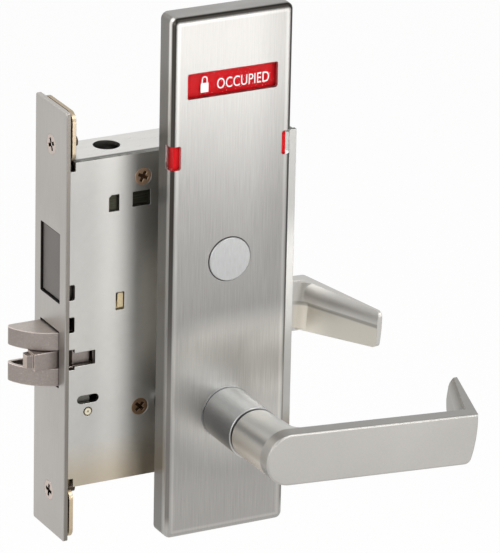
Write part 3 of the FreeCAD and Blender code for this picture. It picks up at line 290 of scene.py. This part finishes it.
# Enamels: their cloudy tone, and the fine ripple that moves their roughness and lifts the face, in metres
ENAMEL_CLOUD_SCALE = 60
ENAMEL_TONES = (0.94, 1.04)
RIPPLE_SCALE = 1500
RIPPLE_ROUGH = (-0.04, 0.06)
RIPPLE_STRENGTH = 0.03
RIPPLE_LIFT = 0.0001
# Clear windows
WINDOW_SCALE = 400
WINDOW_TONE = 0.985
WINDOW_ROUGH = (0.0, 0.02)
WINDOW_IOR = 1.06


def metal(name, colour, rough, grain=EVEN, grain_scale=900, grain_depth=0.12, contrast=0.12, blotch=0.05,
          edge=0.25, rub=1.35, rough_span=0.08, bevel=0.0003, anisotropy=0.0, pits=0.0, zones=None):
    """Metal with a grain stretched along one direction, a slow change of tone, edges that are rubbed and carry a
    painted highlight, and zones.
    """
    m = Nodes(name)
    streak = m.noise(grain_scale, grain, detail=4.0, rough=0.6)
    slow = m.noise(CLOUD_SCALE, detail=2.0, rough=0.45)
    tone = m.ramp(streak, scaled(colour, 1 - contrast), scaled(colour, 1 + contrast), *GRAIN_TONES)
    cloud = m.ramp(slow, grey(1 - blotch), grey(1 + blotch * 0.5))
    body = m.mix("MULTIPLY", 1.0, tone, cloud)
    if zones:
        body = zones(m, body)
    soft = m.add("ShaderNodeBevel", samples=4)
    soft.inputs["Radius"].default_value = bevel
    flat = m.add("ShaderNodeNewGeometry")
    dot = m.vector("DOT_PRODUCT", soft.outputs["Normal"], flat.outputs["Normal"])
    # Rounded edges are lightened, partly as wear and partly as a painted highlight
    wear_and_shine = m.range(dot.outputs["Value"], edge, 0.0, *RUBBED_TURN)
    m.join(m.mix("MIX", wear_and_shine, body, scaled(colour, rub)), m.shader.inputs["Base Color"])
    m.shader.inputs["Metallic"].default_value = 1.0
    m.join(m.range(streak, rough - rough_span / 2, rough + rough_span / 2), m.shader.inputs["Roughness"])
    height = streak
    if pits:
        grit = m.noise(grain_scale * GRIT_FINER, detail=2.0)
        height = m.maths("ADD", streak, m.range(grit, 0.0, pits, *GRIT_TONES))
    m.bump(height, grain_depth, GRAIN_LIFT, under=soft.outputs["Normal"])
    if anisotropy:
        m.shader.inputs["Anisotropic"].default_value = anisotropy
        tangent = m.add("ShaderNodeTangent", direction_type="RADIAL", axis="Z")
        m.join(tangent.outputs["Tangent"], m.shader.inputs["Tangent"])
    return m.material


def enamel(name, colour, rough, gloss=0.12):
    """A printed, coated or moulded face with a faint ripple."""
    m = Nodes(name)
    low, high = (scaled(colour, share) for share in ENAMEL_TONES)
    m.join(m.ramp(m.noise(ENAMEL_CLOUD_SCALE, detail=2.0), low, high), m.shader.inputs["Base Color"])
    ripple = m.noise(RIPPLE_SCALE, detail=2.0)
    m.join(m.range(ripple, rough + RIPPLE_ROUGH[0], rough + RIPPLE_ROUGH[1]), m.shader.inputs["Roughness"])
    m.bump(ripple, RIPPLE_STRENGTH, RIPPLE_LIFT)
    m.shader.inputs["Specular IOR Level"].default_value = gloss
    return m.material


def clear(name):
    """A thin clear window with a low-glare face."""
    m = Nodes(name)
    fine = m.noise(WINDOW_SCALE, detail=2.0)
    m.join(m.ramp(fine, grey(WINDOW_TONE), WHITE), m.shader.inputs["Base Color"])
    m.join(m.range(fine, *WINDOW_ROUGH), m.shader.inputs["Roughness"])
    m.shader.inputs["Transmission Weight"].default_value = 1.0
    m.shader.inputs["IOR"].default_value = WINDOW_IOR
    return m.material


# Where a finish changes over one piece, and where light and shade are painted onto it. Each function takes the plain
# colour and gives the new one. A pair of lengths is the two ends of a soft border, in metres on the piece's own axes.
# A pair for a direction is shares of the normal.

# The outside plate: depths back from its face, insets in from its outline, and places on its face for painted light
# and shade
PLATE_CORNER = 0.0032
FACE_DEPTH = (0.0022, 0.0028)
ROLL_DEPTH = (0.0030, 0.0042)
WALL_DEPTH = (0.0034, 0.0046)
BORDER_SHADE_INSET = ((0.0000, 0.0004), (0.0013, 0.0021))
LINE_INSET = ((0.0022, 0.0028), (0.0032, 0.0042))
BORDER_SHADE_FOOT_Z = (-0.095, -0.088)
BORDER_SHADE_DARK_Z = (-0.070, 0.060)
ROLL_BRIGHT_Z = (-0.020, 0.120)
LIGHT_PATCH_PLACE, LIGHT_PATCH_REACH = (0.078, -0.024), 0.050
LIGHT_PATCH_TOP_Z = (-0.006, 0.009)
SPOT_PLACE, SPOT_REACH = (0.093, -0.022), 0.020
PLATE_FOOT_Z = (-0.085, -0.055)
RIGHT_SHADE_X, RIGHT_SHADE_Z = (0.078, 0.096), (-0.010, 0.060)


def plate_zones(m, body):
    """Painted shade on the side walls, a painted highlight on the rolled edge, and a painted dark line and a painted
    light line where it meets the brushed face. The face has painted light in a wide patch and a spot above the lever
    and at its foot, and painted shade at the right."""
    low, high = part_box("outside_escutcheon")
    centre = ((low.x + high.x) / 2, (low.z + high.z) / 2)
    half = ((high.x - low.x) / 2, (high.z - low.z) / 2)
    deep = m.inset(centre, half, PLATE_CORNER)
    face = m.until("Y", low.y + FACE_DEPTH[0], low.y + FACE_DEPTH[1])
    border_shade = m.both(m.rise(deep, *BORDER_SHADE_INSET[0]), m.fall(deep, *BORDER_SHADE_INSET[1]))
    border_shade = m.both(m.both(border_shade, face), m.at("Z", *BORDER_SHADE_FOOT_Z))
    line = m.both(m.rise(deep, *LINE_INSET[0]), m.fall(deep, *LINE_INSET[1]))
    side = m.sideways("X", 0.35, 0.6)
    wall = m.both(side, m.at("Y", low.y + WALL_DEPTH[0], low.y + WALL_DEPTH[1]))
    roll = m.both(side, m.until("Y", low.y + ROLL_DEPTH[0], low.y + ROLL_DEPTH[1]))
    wear_and_shine = m.near((LIGHT_PATCH_PLACE[0], low.y, LIGHT_PATCH_PLACE[1]), LIGHT_PATCH_REACH)
    wear_and_shine = m.both(m.both(wear_and_shine, m.until("Z", *LIGHT_PATCH_TOP_Z)), face)
    spot = m.both(m.near((SPOT_PLACE[0], low.y, SPOT_PLACE[1]), SPOT_REACH), face)
    foot = m.both(m.until("Z", *PLATE_FOOT_Z), face)
    right_shade = m.both(m.both(m.at("X", *RIGHT_SHADE_X), m.at("Z", *RIGHT_SHADE_Z)), face)
    # Painted shade on the border line, the walls and the right side; painted highlights on the rolled edge and the
    # light line; painted light on the patch, the spot and the foot
    return m.tints(body,
                   (border_shade, (0.48, 0.47, 0.46)),
                   (m.both(border_shade, m.at("Z", *BORDER_SHADE_DARK_Z)), (0.17, 0.16, 0.15)),
                   (wall, (0.66, 0.65, 0.63)),
                   (right_shade, grey(0.83)),
                   (roll, grey(1.15)),
                   (m.both(roll, m.at("Z", *ROLL_BRIGHT_Z)), grey(2.2)),
                   (wear_and_shine, (1.68, 1.67, 1.64)),
                   (spot, grey(1.25)),
                   (foot, (1.14, 1.13, 1.12)),
                   (m.both(line, face), grey(1.22)))


# The case's cover: the strip beside the front with painted light, the part behind it with painted light and shade,
# and the foot with a painted tan reflection
BRIGHT_X = ((0.012, 0.028), (0.032, 0.042))
REAR_X = (0.036, 0.042)
REAR_BRIGHT_Z, REAR_BRIGHT_SOFT = (-0.020, 0.030), 0.012
TAN_Z = (-0.076, -0.052)
UPPER_Z = (-0.020, 0.076)
SHEAR_SCALE, SHEAR_GRAIN = 260, (1, 0.1, 0.1)
STAIN_SCALE, STAIN_GRAIN, STAIN_SHARE = 24, (1, 1, 0.6), 0.6


def cover_zones(m, body):
    """Sheared edges are streaked and darker. The flat has painted light beside the front and behind it, painted shade
    toward the top and at the rear foot, and a painted tan reflection toward the bottom."""
    edge = m.across("Y", 0.3, 0.7)
    streak = m.rise(m.noise(SHEAR_SCALE, SHEAR_GRAIN, detail=2.0), 0.42, 0.62)
    tan = m.until("Z", *TAN_Z)
    stain = m.noise(STAIN_SCALE, STAIN_GRAIN, detail=1.0)
    stain = m.range(stain, 0.0, STAIN_SHARE, 0.4, 0.8, smooth=True)
    bright = m.both(m.at("X", *BRIGHT_X[0]), m.until("X", *BRIGHT_X[1]))
    rear = m.at("X", *REAR_X)
    rear_bright = m.both(rear, m.between(m.part("Object", "Z"), *REAR_BRIGHT_Z, REAR_BRIGHT_SOFT))
    # Painted light beside and behind the front, painted shade toward the top and at the rear foot, and a painted tan
    # reflection low down; the stain and the sheared edges belong to the sheet itself
    return m.tints(body,
                   (bright, grey(1.34)),
                   (rear_bright, grey(1.5)),
                   (m.both(rear, tan), grey(0.50)),
                   (m.at("Z", *UPPER_Z), grey(0.72)),
                   (stain, (0.99, 0.98, 0.96)),
                   (tan, (0.90, 0.80, 0.66)),
                   (edge, (0.50, 0.50, 0.48)),
                   (m.both(edge, streak), (0.55, 0.55, 0.53)))


# Where the case body gets a painted shadow under its cover's edge
CASE_SEAM_SHADOW_Y = (-0.0094, -0.0082)


def body_zones(m, body):
    """The folded case has a painted shadow at the joint under its cover."""
    return m.tints(body, (m.until("Y", *CASE_SEAM_SHADOW_Y), (0.16, 0.16, 0.15)))


# The front's openings lie within these half widths and half heights
OPENINGS_Y = (0.0140, 0.0146)
OPENINGS_Z = (0.090, 0.095)


def front_zones(m, body):
    """The long edges are darker than the face, and the walls of the openings have painted shade."""
    middle = m.fall(m.size(m.part("Object", "Y")), *OPENINGS_Y)
    walls = m.across("X", 0.3, 0.6)
    middle = m.both(middle, m.fall(m.size(m.part("Object", "Z")), *OPENINGS_Z))
    return m.tints(body,
                   (m.sideways("Y", 0.6, 0.85), (0.45, 0.435, 0.41)),
                   (m.both(middle, walls), grey(0.30)))


LATCH_REAR_X = (0.001, 0.006)
GLINT_SCALE = 1500


def latch_zones(m, body):
    """The rear is browner, small painted glints lie all over, and the top faces get painted light from above."""
    top = m.facing("Z", 0.55, 0.9)
    glint = m.rise(m.noise(GLINT_SCALE, detail=1.0), 0.64, 0.74)
    return m.tints(body,
                   (m.at("X", *LATCH_REAR_X), (1.15, 1.02, 0.84)),
                   (glint, grey(1.35)),
                   (top, (1.55, 1.60, 1.60)))


TONGUE_TIP_X = (-0.010, -0.006)


def tongue_zones(m, body):
    """The tip of the tongue is rubbed bright, and its long side and top stay dark."""
    tip = m.both(m.away("X", 0.55, 0.85), m.until("X", *TONGUE_TIP_X))
    return m.tints(body, (tip, (1.9, 1.85, 1.75)))


def collar_zones(m, body):
    """The collar has cool painted light on top, painted shade at the side and warm painted light below, and a painted
    highlight on its end.
    """
    end = m.sideways("Y", 0.6, 0.95)
    round_wall = m.range(end, 1.0, 0.0, 0.0, 0.5)
    side = m.both(m.away("X", 0.66, 0.92), round_wall)
    top = m.both(m.facing("Z", 0.50, 0.85), round_wall)
    below = m.both(m.away("Z", 0.05, 0.50), round_wall)
    return m.tints(body,
                   (side, (0.52, 0.52, 0.53)),
                   (top, (1.12, 1.15, 1.18)),
                   (below, (1.70, 1.60, 1.45)),
                   (end, grey(1.25)))


# Both levers' returns start here. The outside lever's neck ends at the first pair in X and starts in Y at the second.
RETURN_X = (0.150, 0.156)
NECK_END_X = (0.092, 0.100)
NECK_START_Y = (-0.0900, -0.0888)


def neck_bands(m, body, neck):
    """The lever's neck has cool painted light on top, with a narrow band of painted shade and a warm painted lit side
    under it.
    """
    up = m.part("Normal", "Z")
    left = m.both(m.away("X", 0.35, 0.60), neck)
    top = m.both(m.rise(up, 0.68, 0.80), neck)
    band = m.both(m.between(up, 0.47, 0.66, 0.09), left)
    low = m.both(m.fall(up, 0.30, 0.46), left)
    foot = m.both(m.fall(up, -0.45, 0.05), neck)
    return m.tints(body,
                   (top, (1.15, 1.19, 1.22)),
                   (band, (0.58, 0.58, 0.59)),
                   (foot, (1.55, 1.52, 1.49)),
                   (low, (1.15, 1.12, 1.08)))


def lever_zones(m, body):
    """The inner side of the return, the flat top and the front's upper rim get painted shade, and the neck has
    painted bands.
    """
    neck = m.both(m.range(m.part("Object", "X"), 1.0, 0.0, *NECK_END_X), m.at("Y", *NECK_START_Y))
    inner = m.both(m.away("X", 0.5, 0.9), m.at("X", *RETURN_X))
    flat = m.both(m.facing("Z", 0.70, 0.95), m.range(neck, 1.0, 0.0, 0.0, 1.0))
    rim = m.both(m.facing("Z", 0.10, 0.30), m.away("Y", 0.25, 0.5))
    body = m.tints(body,
                   (inner, (0.66, 0.65, 0.62)),
                   (flat, grey(0.64)),
                   (rim, grey(0.86)))
    return neck_bands(m, body, neck)


# The ridge on the inside lever's return falls by this share of Y. The heights are measured across that slope.
RIDGE_SLOPE = 0.0607
CREASE_Z, CREASE_SOFT = (-0.0417, -0.0400), 0.0004
UNDER_Z = (-0.0424, -0.0414)
ROOT_Y = (0.050, 0.070)


def grip_zones(m, body):
    """A band of painted shade runs along the ridge of the inside lever's return, which has painted light under it and
    at its root.
    """
    line = m.maths("ADD", m.part("Object", "Z"), m.maths("MULTIPLY", m.part("Object", "Y"), RIDGE_SLOPE))
    side = m.both(m.away("X", 0.3, 0.6), m.at("X", *RETURN_X))
    crease = m.both(m.between(line, *CREASE_Z, CREASE_SOFT), side)
    under = m.both(m.fall(line, *UNDER_Z), side)
    root = m.both(side, m.at("Y", *ROOT_Y))
    return m.tints(body,
                   (root, (1.36, 1.35, 1.33)),
                   (crease, (0.64, 0.63, 0.60)),
                   (under, (1.14, 1.11, 1.03)))


UPPER_BRACKET_Z = (-0.005, 0.005)
BRACKET_BORDER_Y = (0.0115, 0.0145)


def bracket_zones(m, body):
    """The upper bracket is a little duller than the lower one, and both turn brown toward one border."""
    return m.tints(body,
                   (m.at("Z", *UPPER_BRACKET_Z), (0.80, 0.81, 0.84)),
                   (m.at("Y", *BRACKET_BORDER_Y), (0.62, 0.50, 0.38)))


RIVET_PLACE = (0.0130, -0.01285, -0.0416)
RIVET_RIM = (0.00135, 0.00165)
RIVET_DIMPLE = 0.0007


def rivet_zones(m, body):
    """Painted shade in a small dimple in the middle of the head and in a rim round it."""
    return m.tints(body,
                   (m.rise(m.distance(RIVET_PLACE), *RIVET_RIM), (0.45, 0.42, 0.36)),
                   (m.near(RIVET_PLACE, RIVET_DIMPLE), (0.40, 0.38, 0.33)))


# How deep the screws' recesses get painted shade, and where the lower cover screw ends and the upper one starts
FRONT_RECESS_X = (0.0001, 0.0004)
COVER_RECESS_Y = (-0.01245, -0.0120)
LOWER_SCREW_Z = (-0.030, 0.030)


def front_screw_zones(m, body):
    """The cross recess has painted shade."""
    return m.tints(body, (m.at("X", *FRONT_RECESS_X), (0.10, 0.09, 0.08)))


def screw_zones(m, body):
    """The lower cover screw is a darker bronze than the upper one, and the recesses have painted shade."""
    return m.tints(body,
                   (m.at("Y", *COVER_RECESS_Y), (0.14, 0.12, 0.10)),
                   (m.until("Z", *LOWER_SCREW_Z), (0.50, 0.47, 0.42)))


# Finishes that several metals share
SATIN = {"rough": 0.38, "grain_scale": 2500, "grain_depth": 0.05, "contrast": 0.03, "edge": 0.05, "blotch": 0.04}
TURNED = {"grain": (1, 0.15, 1), "grain_scale": 2000, "grain_depth": 0.08, "contrast": 0.06, "edge": 0.1}
CAST = {"rough": 0.40, "grain_scale": 1300, "grain_depth": 0.20, "contrast": 0.10, "blotch": 0.12, "edge": 1.0,
        "pits": 0.4}
PLATED = {"rough": 0.38, "grain_depth": 0.08, "contrast": 0.08}
SCREW = {"grain_scale": 1200, "grain_depth": 0.08, "contrast": 0.06}
INNER = {"rough": 0.45, "grain_scale": 700, "grain_depth": 0.15, "contrast": 0.08, "blotch": 0.12}

# Each metal's name, colour and finish, and the nodes that wear it
METALS = (
    ("plate brushed steel", (0.335, 0.326, 0.313),
     {"rough": 0.36, "grain": (1, 1, 0.02), "grain_scale": 2600, "grain_depth": 0.20, "contrast": 0.10,
      "edge": 0.0, "blotch": 0.03, "zones": plate_zones, "anisotropy": 0.6},
     ("outside_escutcheon",)),
    ("front satin steel", (0.475, 0.452, 0.428),
     {"rough": 0.40, "grain": (1, 1, 0.05), "grain_scale": 1500, "grain_depth": 0.15, "contrast": 0.05,
      "edge": 0.2, "zones": front_zones},
     ("armor_front",)),
    ("cover zinc sheet", (0.505, 0.497, 0.476),
     {"rough": 0.38, "grain": (0.3, 1, 0.3), "grain_depth": 0.012, "contrast": 0.02, "blotch": 0.04,
      "edge": 0.5, "rough_span": 0.03, "zones": cover_zones},
     ("case_cover",)),
    ("case zinc sheet", (0.68, 0.67, 0.645),
     {"rough": 0.30, "grain": (0.3, 1, 0.3), "grain_scale": 500, "grain_depth": 0.05, "contrast": 0.04,
      "blotch": 0.06, "zones": body_zones},
     ("case_body",)),
    ("lever satin steel", (0.462, 0.448, 0.424), {**SATIN, "zones": lever_zones}, ("outside_lever",)),
    ("grip satin steel", (0.53, 0.515, 0.49), {**SATIN, "zones": grip_zones}, ("inside_lever",)),
    ("collar satin steel", (0.385, 0.388, 0.386), {**TURNED, "rough": 0.32, "zones": collar_zones},
     ("outside_collar",)),
    ("rose satin steel", (0.46, 0.46, 0.455), {**TURNED, "rough": 0.34},
     ("inside_collar", "inside_rose", "thumbturn_rose", "thumbturn")),
    ("button satin steel", (0.375, 0.378, 0.374),
     {"rough": 0.4, "grain": (1, 1, 0.1), "grain_scale": 2200, "contrast": 0.08, "edge": 0.1},
     ("emergency_button",)),
    ("deadbolt cast steel", (0.195, 0.178, 0.165),
     {"rough": 0.42, "grain_scale": 1100, "grain_depth": 0.30, "contrast": 0.10, "blotch": 0.15, "pits": 0.6},
     ("deadbolt",)),
    ("latch cast steel", (0.305, 0.266, 0.245), {**CAST, "bevel": 0.0007, "rub": 2.9, "zones": latch_zones},
     ("latchbolt",)),
    ("tongue cast steel", (0.255, 0.221, 0.204), {**CAST, "bevel": 0.0006, "rub": 2.6, "zones": tongue_zones},
     ("antifriction_tongue",)),
    ("golden passivated steel", (0.56, 0.45, 0.305), {**PLATED, "blotch": 0.15, "zones": bracket_zones},
     ("front_brackets",)),
    ("brass strip", (0.72, 0.60, 0.38), {**PLATED, "blotch": 0.12}, ("bolt_guide",)),
    ("front screw steel", (0.58, 0.49, 0.435), {**SCREW, "rough": 0.32, "zones": front_screw_zones},
     ("front_screws",)),
    ("copper screw", (0.66, 0.45, 0.31), {**SCREW, "rough": 0.32, "zones": screw_zones}, ("cover_screws",)),
    ("rivet brass", (0.78, 0.71, 0.56), {**SCREW, "rough": 0.38, "zones": rivet_zones}, ("guide_rivet",)),
    ("dark screw", (0.30, 0.24, 0.19), {**SCREW, "rough": 0.38}, ("outside_set_screw", "inside_set_screw")),
    ("dark olive steel", (0.055, 0.055, 0.040),
     {"rough": 0.45, "grain": (0.06, 1, 1), "grain_scale": 1400, "grain_depth": 0.20, "contrast": 0.40,
      "blotch": 0.12},
     ("window_plate",)),
    ("dark inner steel", (0.16, 0.155, 0.14), INNER,
     ("latch_guide", "deadbolt_hub", "privacy_catch", "outside_hub", "inside_hub")),
    ("plain inner steel", (0.32, 0.32, 0.315), INNER,
     ("cover_posts", "tongue_pin", "spring_stop", "deadbolt_crank_pin", "emergency_hub", "mounting_posts",
      "indicator_guides", "indicator_crank", "emergency_turn", "emergency_spindle", "outside_spindle",
      "inside_spindle", "inside_rose_plate", "thumbturn_rose_plate", "trim_bolts", "thumbturn_spindle")),
    ("spring wire", (0.38, 0.38, 0.39),
     {"rough": 0.28, "grain_scale": 1500, "grain_depth": 0.05, "contrast": 0.05},
     ("latch_spring", "outside_lever_spring", "inside_lever_spring", "outside_retaining_ring",
      "inside_retaining_ring")),
)


def dress(material, names):
    for name in names:
        mesh = NODES[name].data
        mesh.materials.clear()
        mesh.materials.append(material)


def make_materials():
    for name, colour, finish, nodes in METALS:
        dress(metal(name, colour, **finish), nodes)
    dress(enamel("coated back plate", (0.65, 0.63, 0.59), 0.7), ("escutcheon_back_plate",))
    dress(enamel("red sign", (0.60, 0.007, 0.011), 0.35, gloss=0.04), ("occupied_panel",))
    dress(enamel("green sign", (0.01, 0.22, 0.07), 0.35), ("vacant_panel",))
    dress(enamel("black slide", (0.02, 0.02, 0.022), 0.5), ("indicator_slide",))
    dress(clear("clear window"), ("sign_lens", "side_lenses"))


# Words and padlocks on the sign's two panels, in metres. The lower panel is one stroke below the upper one.
SIGN_Z = 0.11265
STROKE = 0.015
PRINT_THICK = 0.00006
PRINT_GAP = 0.00002
LETTER_HEIGHT = 0.0048
LETTER_SPACING = 1.04
OCCUPIED_X = (0.0631, 0.0885)
VACANT_X = (0.0651, 0.0865)
PADLOCK_X = 0.0570
PADLOCK_RAISE = 0.0006
PADLOCK_HALF = 0.0019
PADLOCK_TOP = 0.0006
PADLOCK_LOW = 0.0037
SHACKLE_OUTER = 0.00143
SHACKLE_INNER = 0.00088
SHACKLE_RISE = 0.0017
SHACKLE_OVERLAP = 0.0001
SHACKLE_SWUNG = 1.3
ARC_STEPS = 20


def flat_mesh(name, outline, y, material):
    """A thin plate from a closed outline in X and Z, facing -Y."""
    curve = bpy.data.curves.new(name, "CURVE")
    curve.dimensions = "2D"
    curve.fill_mode = "BOTH"
    curve.extrude = PRINT_THICK / 2
    spline = curve.splines.new("POLY")
    spline.points.add(len(outline) - 1)
    for point, (x, z) in zip(spline.points, outline):
        point.co = (x, z, 0, 1)
    spline.use_cyclic_u = True
    piece = bpy.data.objects.new(name, curve)
    bpy.context.scene.collection.objects.link(piece)
    place_flat(piece, name, y, material, "indicator")


def place_flat(piece, name, y, material, body):
    """Turns a flat curve into an upright mesh whose rear is at y, and rides it on a body."""
    bpy.context.view_layer.update()
    mesh = bpy.data.meshes.new_from_object(piece.evaluated_get(bpy.context.evaluated_depsgraph_get()))
    upright = Matrix.Translation((0, y - PRINT_THICK / 2, 0)) @ Matrix.Rotation(math.radians(90), 4, "X")
    mesh.transform(upright @ piece.matrix_world)
    bpy.data.objects.remove(piece)
    mesh.materials.clear()
    mesh.materials.append(material)
    made = bpy.data.objects.new(name, mesh)
    bpy.context.scene.collection.objects.link(made)
    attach(made, body)


def word(text, name, span, z, y, material):
    """A word in a plain sans face, set to a width and a height."""
    curve = bpy.data.curves.new(name, "FONT")
    curve.body = text
    curve.size = 1.0
    curve.extrude = 0.0
    curve.space_character = LETTER_SPACING
    piece = bpy.data.objects.new(name, curve)
    bpy.context.scene.collection.objects.link(piece)
    bpy.context.view_layer.update()
    corners = [Vector(c) for c in piece.bound_box]
    low_x = min(c.x for c in corners)
    high_x = max(c.x for c in corners)
    low_y = min(c.y for c in corners)
    high_y = max(c.y for c in corners)
    scale_x = (span[1] - span[0]) / (high_x - low_x)
    scale_y = LETTER_HEIGHT / (high_y - low_y)
    curve.extrude = PRINT_THICK / 2
    corner = (span[0] - low_x * scale_x, z - LETTER_HEIGHT / 2 - low_y * scale_y, 0)
    piece.matrix_world = Matrix.Translation(corner) @ Matrix.Diagonal((scale_x, scale_y, 1, 1))
    place_flat(piece, name, y, material, "indicator")


def arc(centre_x, centre_z, radius, start, end):
    """Points along an arc, between two angles in degrees."""
    angles = [math.radians(start + (end - start) * i / ARC_STEPS) for i in range(ARC_STEPS + 1)]
    return [(centre_x + radius * math.cos(a), centre_z + radius * math.sin(a)) for a in angles]


def padlock(name, z, y, lifted, material):
    """A small padlock: a body and a shackle that is closed, or swung open to the right."""
    left, right = PADLOCK_X - PADLOCK_HALF, PADLOCK_X + PADLOCK_HALF
    top, low = z + PADLOCK_TOP, z - PADLOCK_LOW
    x = PADLOCK_X + (SHACKLE_SWUNG * PADLOCK_HALF if lifted else 0.0)
    foot = top - SHACKLE_OVERLAP
    bow = [(x + SHACKLE_OUTER, foot)]
    bow += arc(x, top + SHACKLE_RISE, SHACKLE_OUTER, 0, 180)
    bow += [(x - SHACKLE_OUTER, foot), (x - SHACKLE_INNER, foot)]
    bow += arc(x, top + SHACKLE_RISE, SHACKLE_INNER, 180, 0)
    bow += [(x + SHACKLE_INNER, foot)]
    flat_mesh(name + "_body", [(left, low), (right, low), (right, top), (left, top)], y, material)
    flat_mesh(name + "_shackle", bow, y, material)


def make_sign():
    white = enamel("white print", (0.86, 0.86, 0.84), 0.4)
    face_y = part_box("occupied_panel")[0].y - PRINT_GAP
    word("OCCUPIED", "occupied_word", OCCUPIED_X, SIGN_Z, face_y, white)
    padlock("occupied_padlock", SIGN_Z + PADLOCK_RAISE, face_y, False, white)
    word("VACANT", "vacant_word", VACANT_X, SIGN_Z - STROKE, face_y, white)
    padlock("vacant_padlock", SIGN_Z - STROKE + PADLOCK_RAISE, face_y, True, white)


def make_spring():
    """The latch's return spring, as a copy with its own mesh that rides on the lock in place of the part."""
    node = NODES["latch_spring"]
    coil = bpy.data.objects.new("latch_spring_coil", node.data.copy())
    coil.matrix_world = node.matrix_world.copy()
    bpy.context.scene.collection.objects.link(coil)
    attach(coil, "lock")
    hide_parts("latch_spring")
    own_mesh(coil)


# Floor, world and lamps. Powers are in watts.
FLOOR_Z = -0.30
FLOOR_HALF = 6.0
FLOOR_COLOURS = ((0.88, 0.88, 0.875), (0.90, 0.90, 0.895))
FLOOR_NOISE_SCALE = 3
FLOOR_ROUGH = 0.9
FLOOR_GLOW = 0.90
ROOM_STRENGTH = 0.75
LOCK_MIDDLE = (0.07, 0.0, 0.02)
LAMPS = (
    ("key", (0.55, -1.0, 1.0), LOCK_MIDDLE, (0.7, 0.7), 7.0),
    ("fill", (-1.1, -0.8, 0.5), LOCK_MIDDLE, (0.9, 0.9), 5.0),
    ("rim", (-0.9, 0.6, 1.2), LOCK_MIDDLE, (0.8, 0.8), 4.0),
    ("low_front", (0.25, -0.45, -0.014), (0.07, -0.035, 0.155), (0.28, 0.10), 0.43),
)


def lit_ray(tree, share):
    """1 x share for what the camera, metal and glass see, and 0 for plain light."""
    path = tree.nodes.new("ShaderNodeLightPath")
    seen = path.outputs["Is Camera Ray"]
    for kind in ("Is Glossy Ray", "Is Transmission Ray"):
        either = tree.nodes.new("ShaderNodeMath")
        either.operation = "MAXIMUM"
        tree.links.new(seen, either.inputs[0])
        tree.links.new(path.outputs[kind], either.inputs[1])
        seen = either.outputs[0]
    part = tree.nodes.new("ShaderNodeMath")
    part.operation = "MULTIPLY"
    tree.links.new(seen, part.inputs[0])
    part.inputs[1].default_value = share
    return part.outputs[0]


def make_floor():
    """A pale floor that shows as white and keeps the lock's shadow."""
    mesh = bpy.data.meshes.new("floor")
    corners = [(x * FLOOR_HALF, y * FLOOR_HALF, FLOOR_Z) for x, y in ((-1, -1), (1, -1), (1, 1), (-1, 1))]
    mesh.from_pydata(corners, [], [(0, 1, 2, 3)])
    floor = bpy.data.objects.new("floor", mesh)
    bpy.context.scene.collection.objects.link(floor)
    m = Nodes("pale floor")
    m.join(m.ramp(m.noise(FLOOR_NOISE_SCALE, detail=2.0), *FLOOR_COLOURS), m.shader.inputs["Base Color"])
    m.shader.inputs["Roughness"].default_value = FLOOR_ROUGH
    glow = m.add("ShaderNodeEmission")
    glow.inputs["Color"].default_value = (*WHITE, 1)
    glow.inputs["Strength"].default_value = 1.0
    mix = m.add("ShaderNodeMixShader")
    m.join(lit_ray(m.tree, FLOOR_GLOW), mix.inputs[0])
    m.join(m.shader.outputs["BSDF"], mix.inputs[1])
    m.join(glow.outputs["Emission"], mix.inputs[2])
    m.join(mix.outputs[0], m.out.inputs["Surface"])
    floor.data.materials.append(m.material)


def make_world():
    """A white room that lights the lock at a lower strength than it shows."""
    world = bpy.data.worlds.new("studio")
    bpy.context.scene.world = world
    world.use_nodes = True
    tree = world.node_tree
    tree.nodes.clear()
    out = tree.nodes.new("ShaderNodeOutputWorld")
    mix = tree.nodes.new("ShaderNodeMixShader")
    tree.links.new(lit_ray(tree, 1.0), mix.inputs[0])
    for socket, strength in ((1, ROOM_STRENGTH), (2, 1.0)):
        white = tree.nodes.new("ShaderNodeBackground")
        white.inputs["Color"].default_value = (*WHITE, 1)
        white.inputs["Strength"].default_value = strength
        tree.links.new(white.outputs[0], mix.inputs[socket])
    tree.links.new(mix.outputs[0], out.inputs["Surface"])


def lamp(name, place, target, size, power):
    data = bpy.data.lights.new(name, "AREA")
    data.shape = "RECTANGLE"
    data.size = size[0]
    data.size_y = size[1]
    data.energy = power
    light = bpy.data.objects.new(name, data)
    light.location = place
    light.visible_camera = False
    light.rotation_mode = "QUATERNION"
    light.rotation_quaternion = (Vector(target) - Vector(place)).to_track_quat("-Z", "Y")
    bpy.context.scene.collection.objects.link(light)


make_camera()
make_materials()
make_sign()
make_spring()
make_floor()
make_world()
for settings in LAMPS:
    lamp(*settings)
bpy.context.scene.view_settings.view_transform = "Standard"
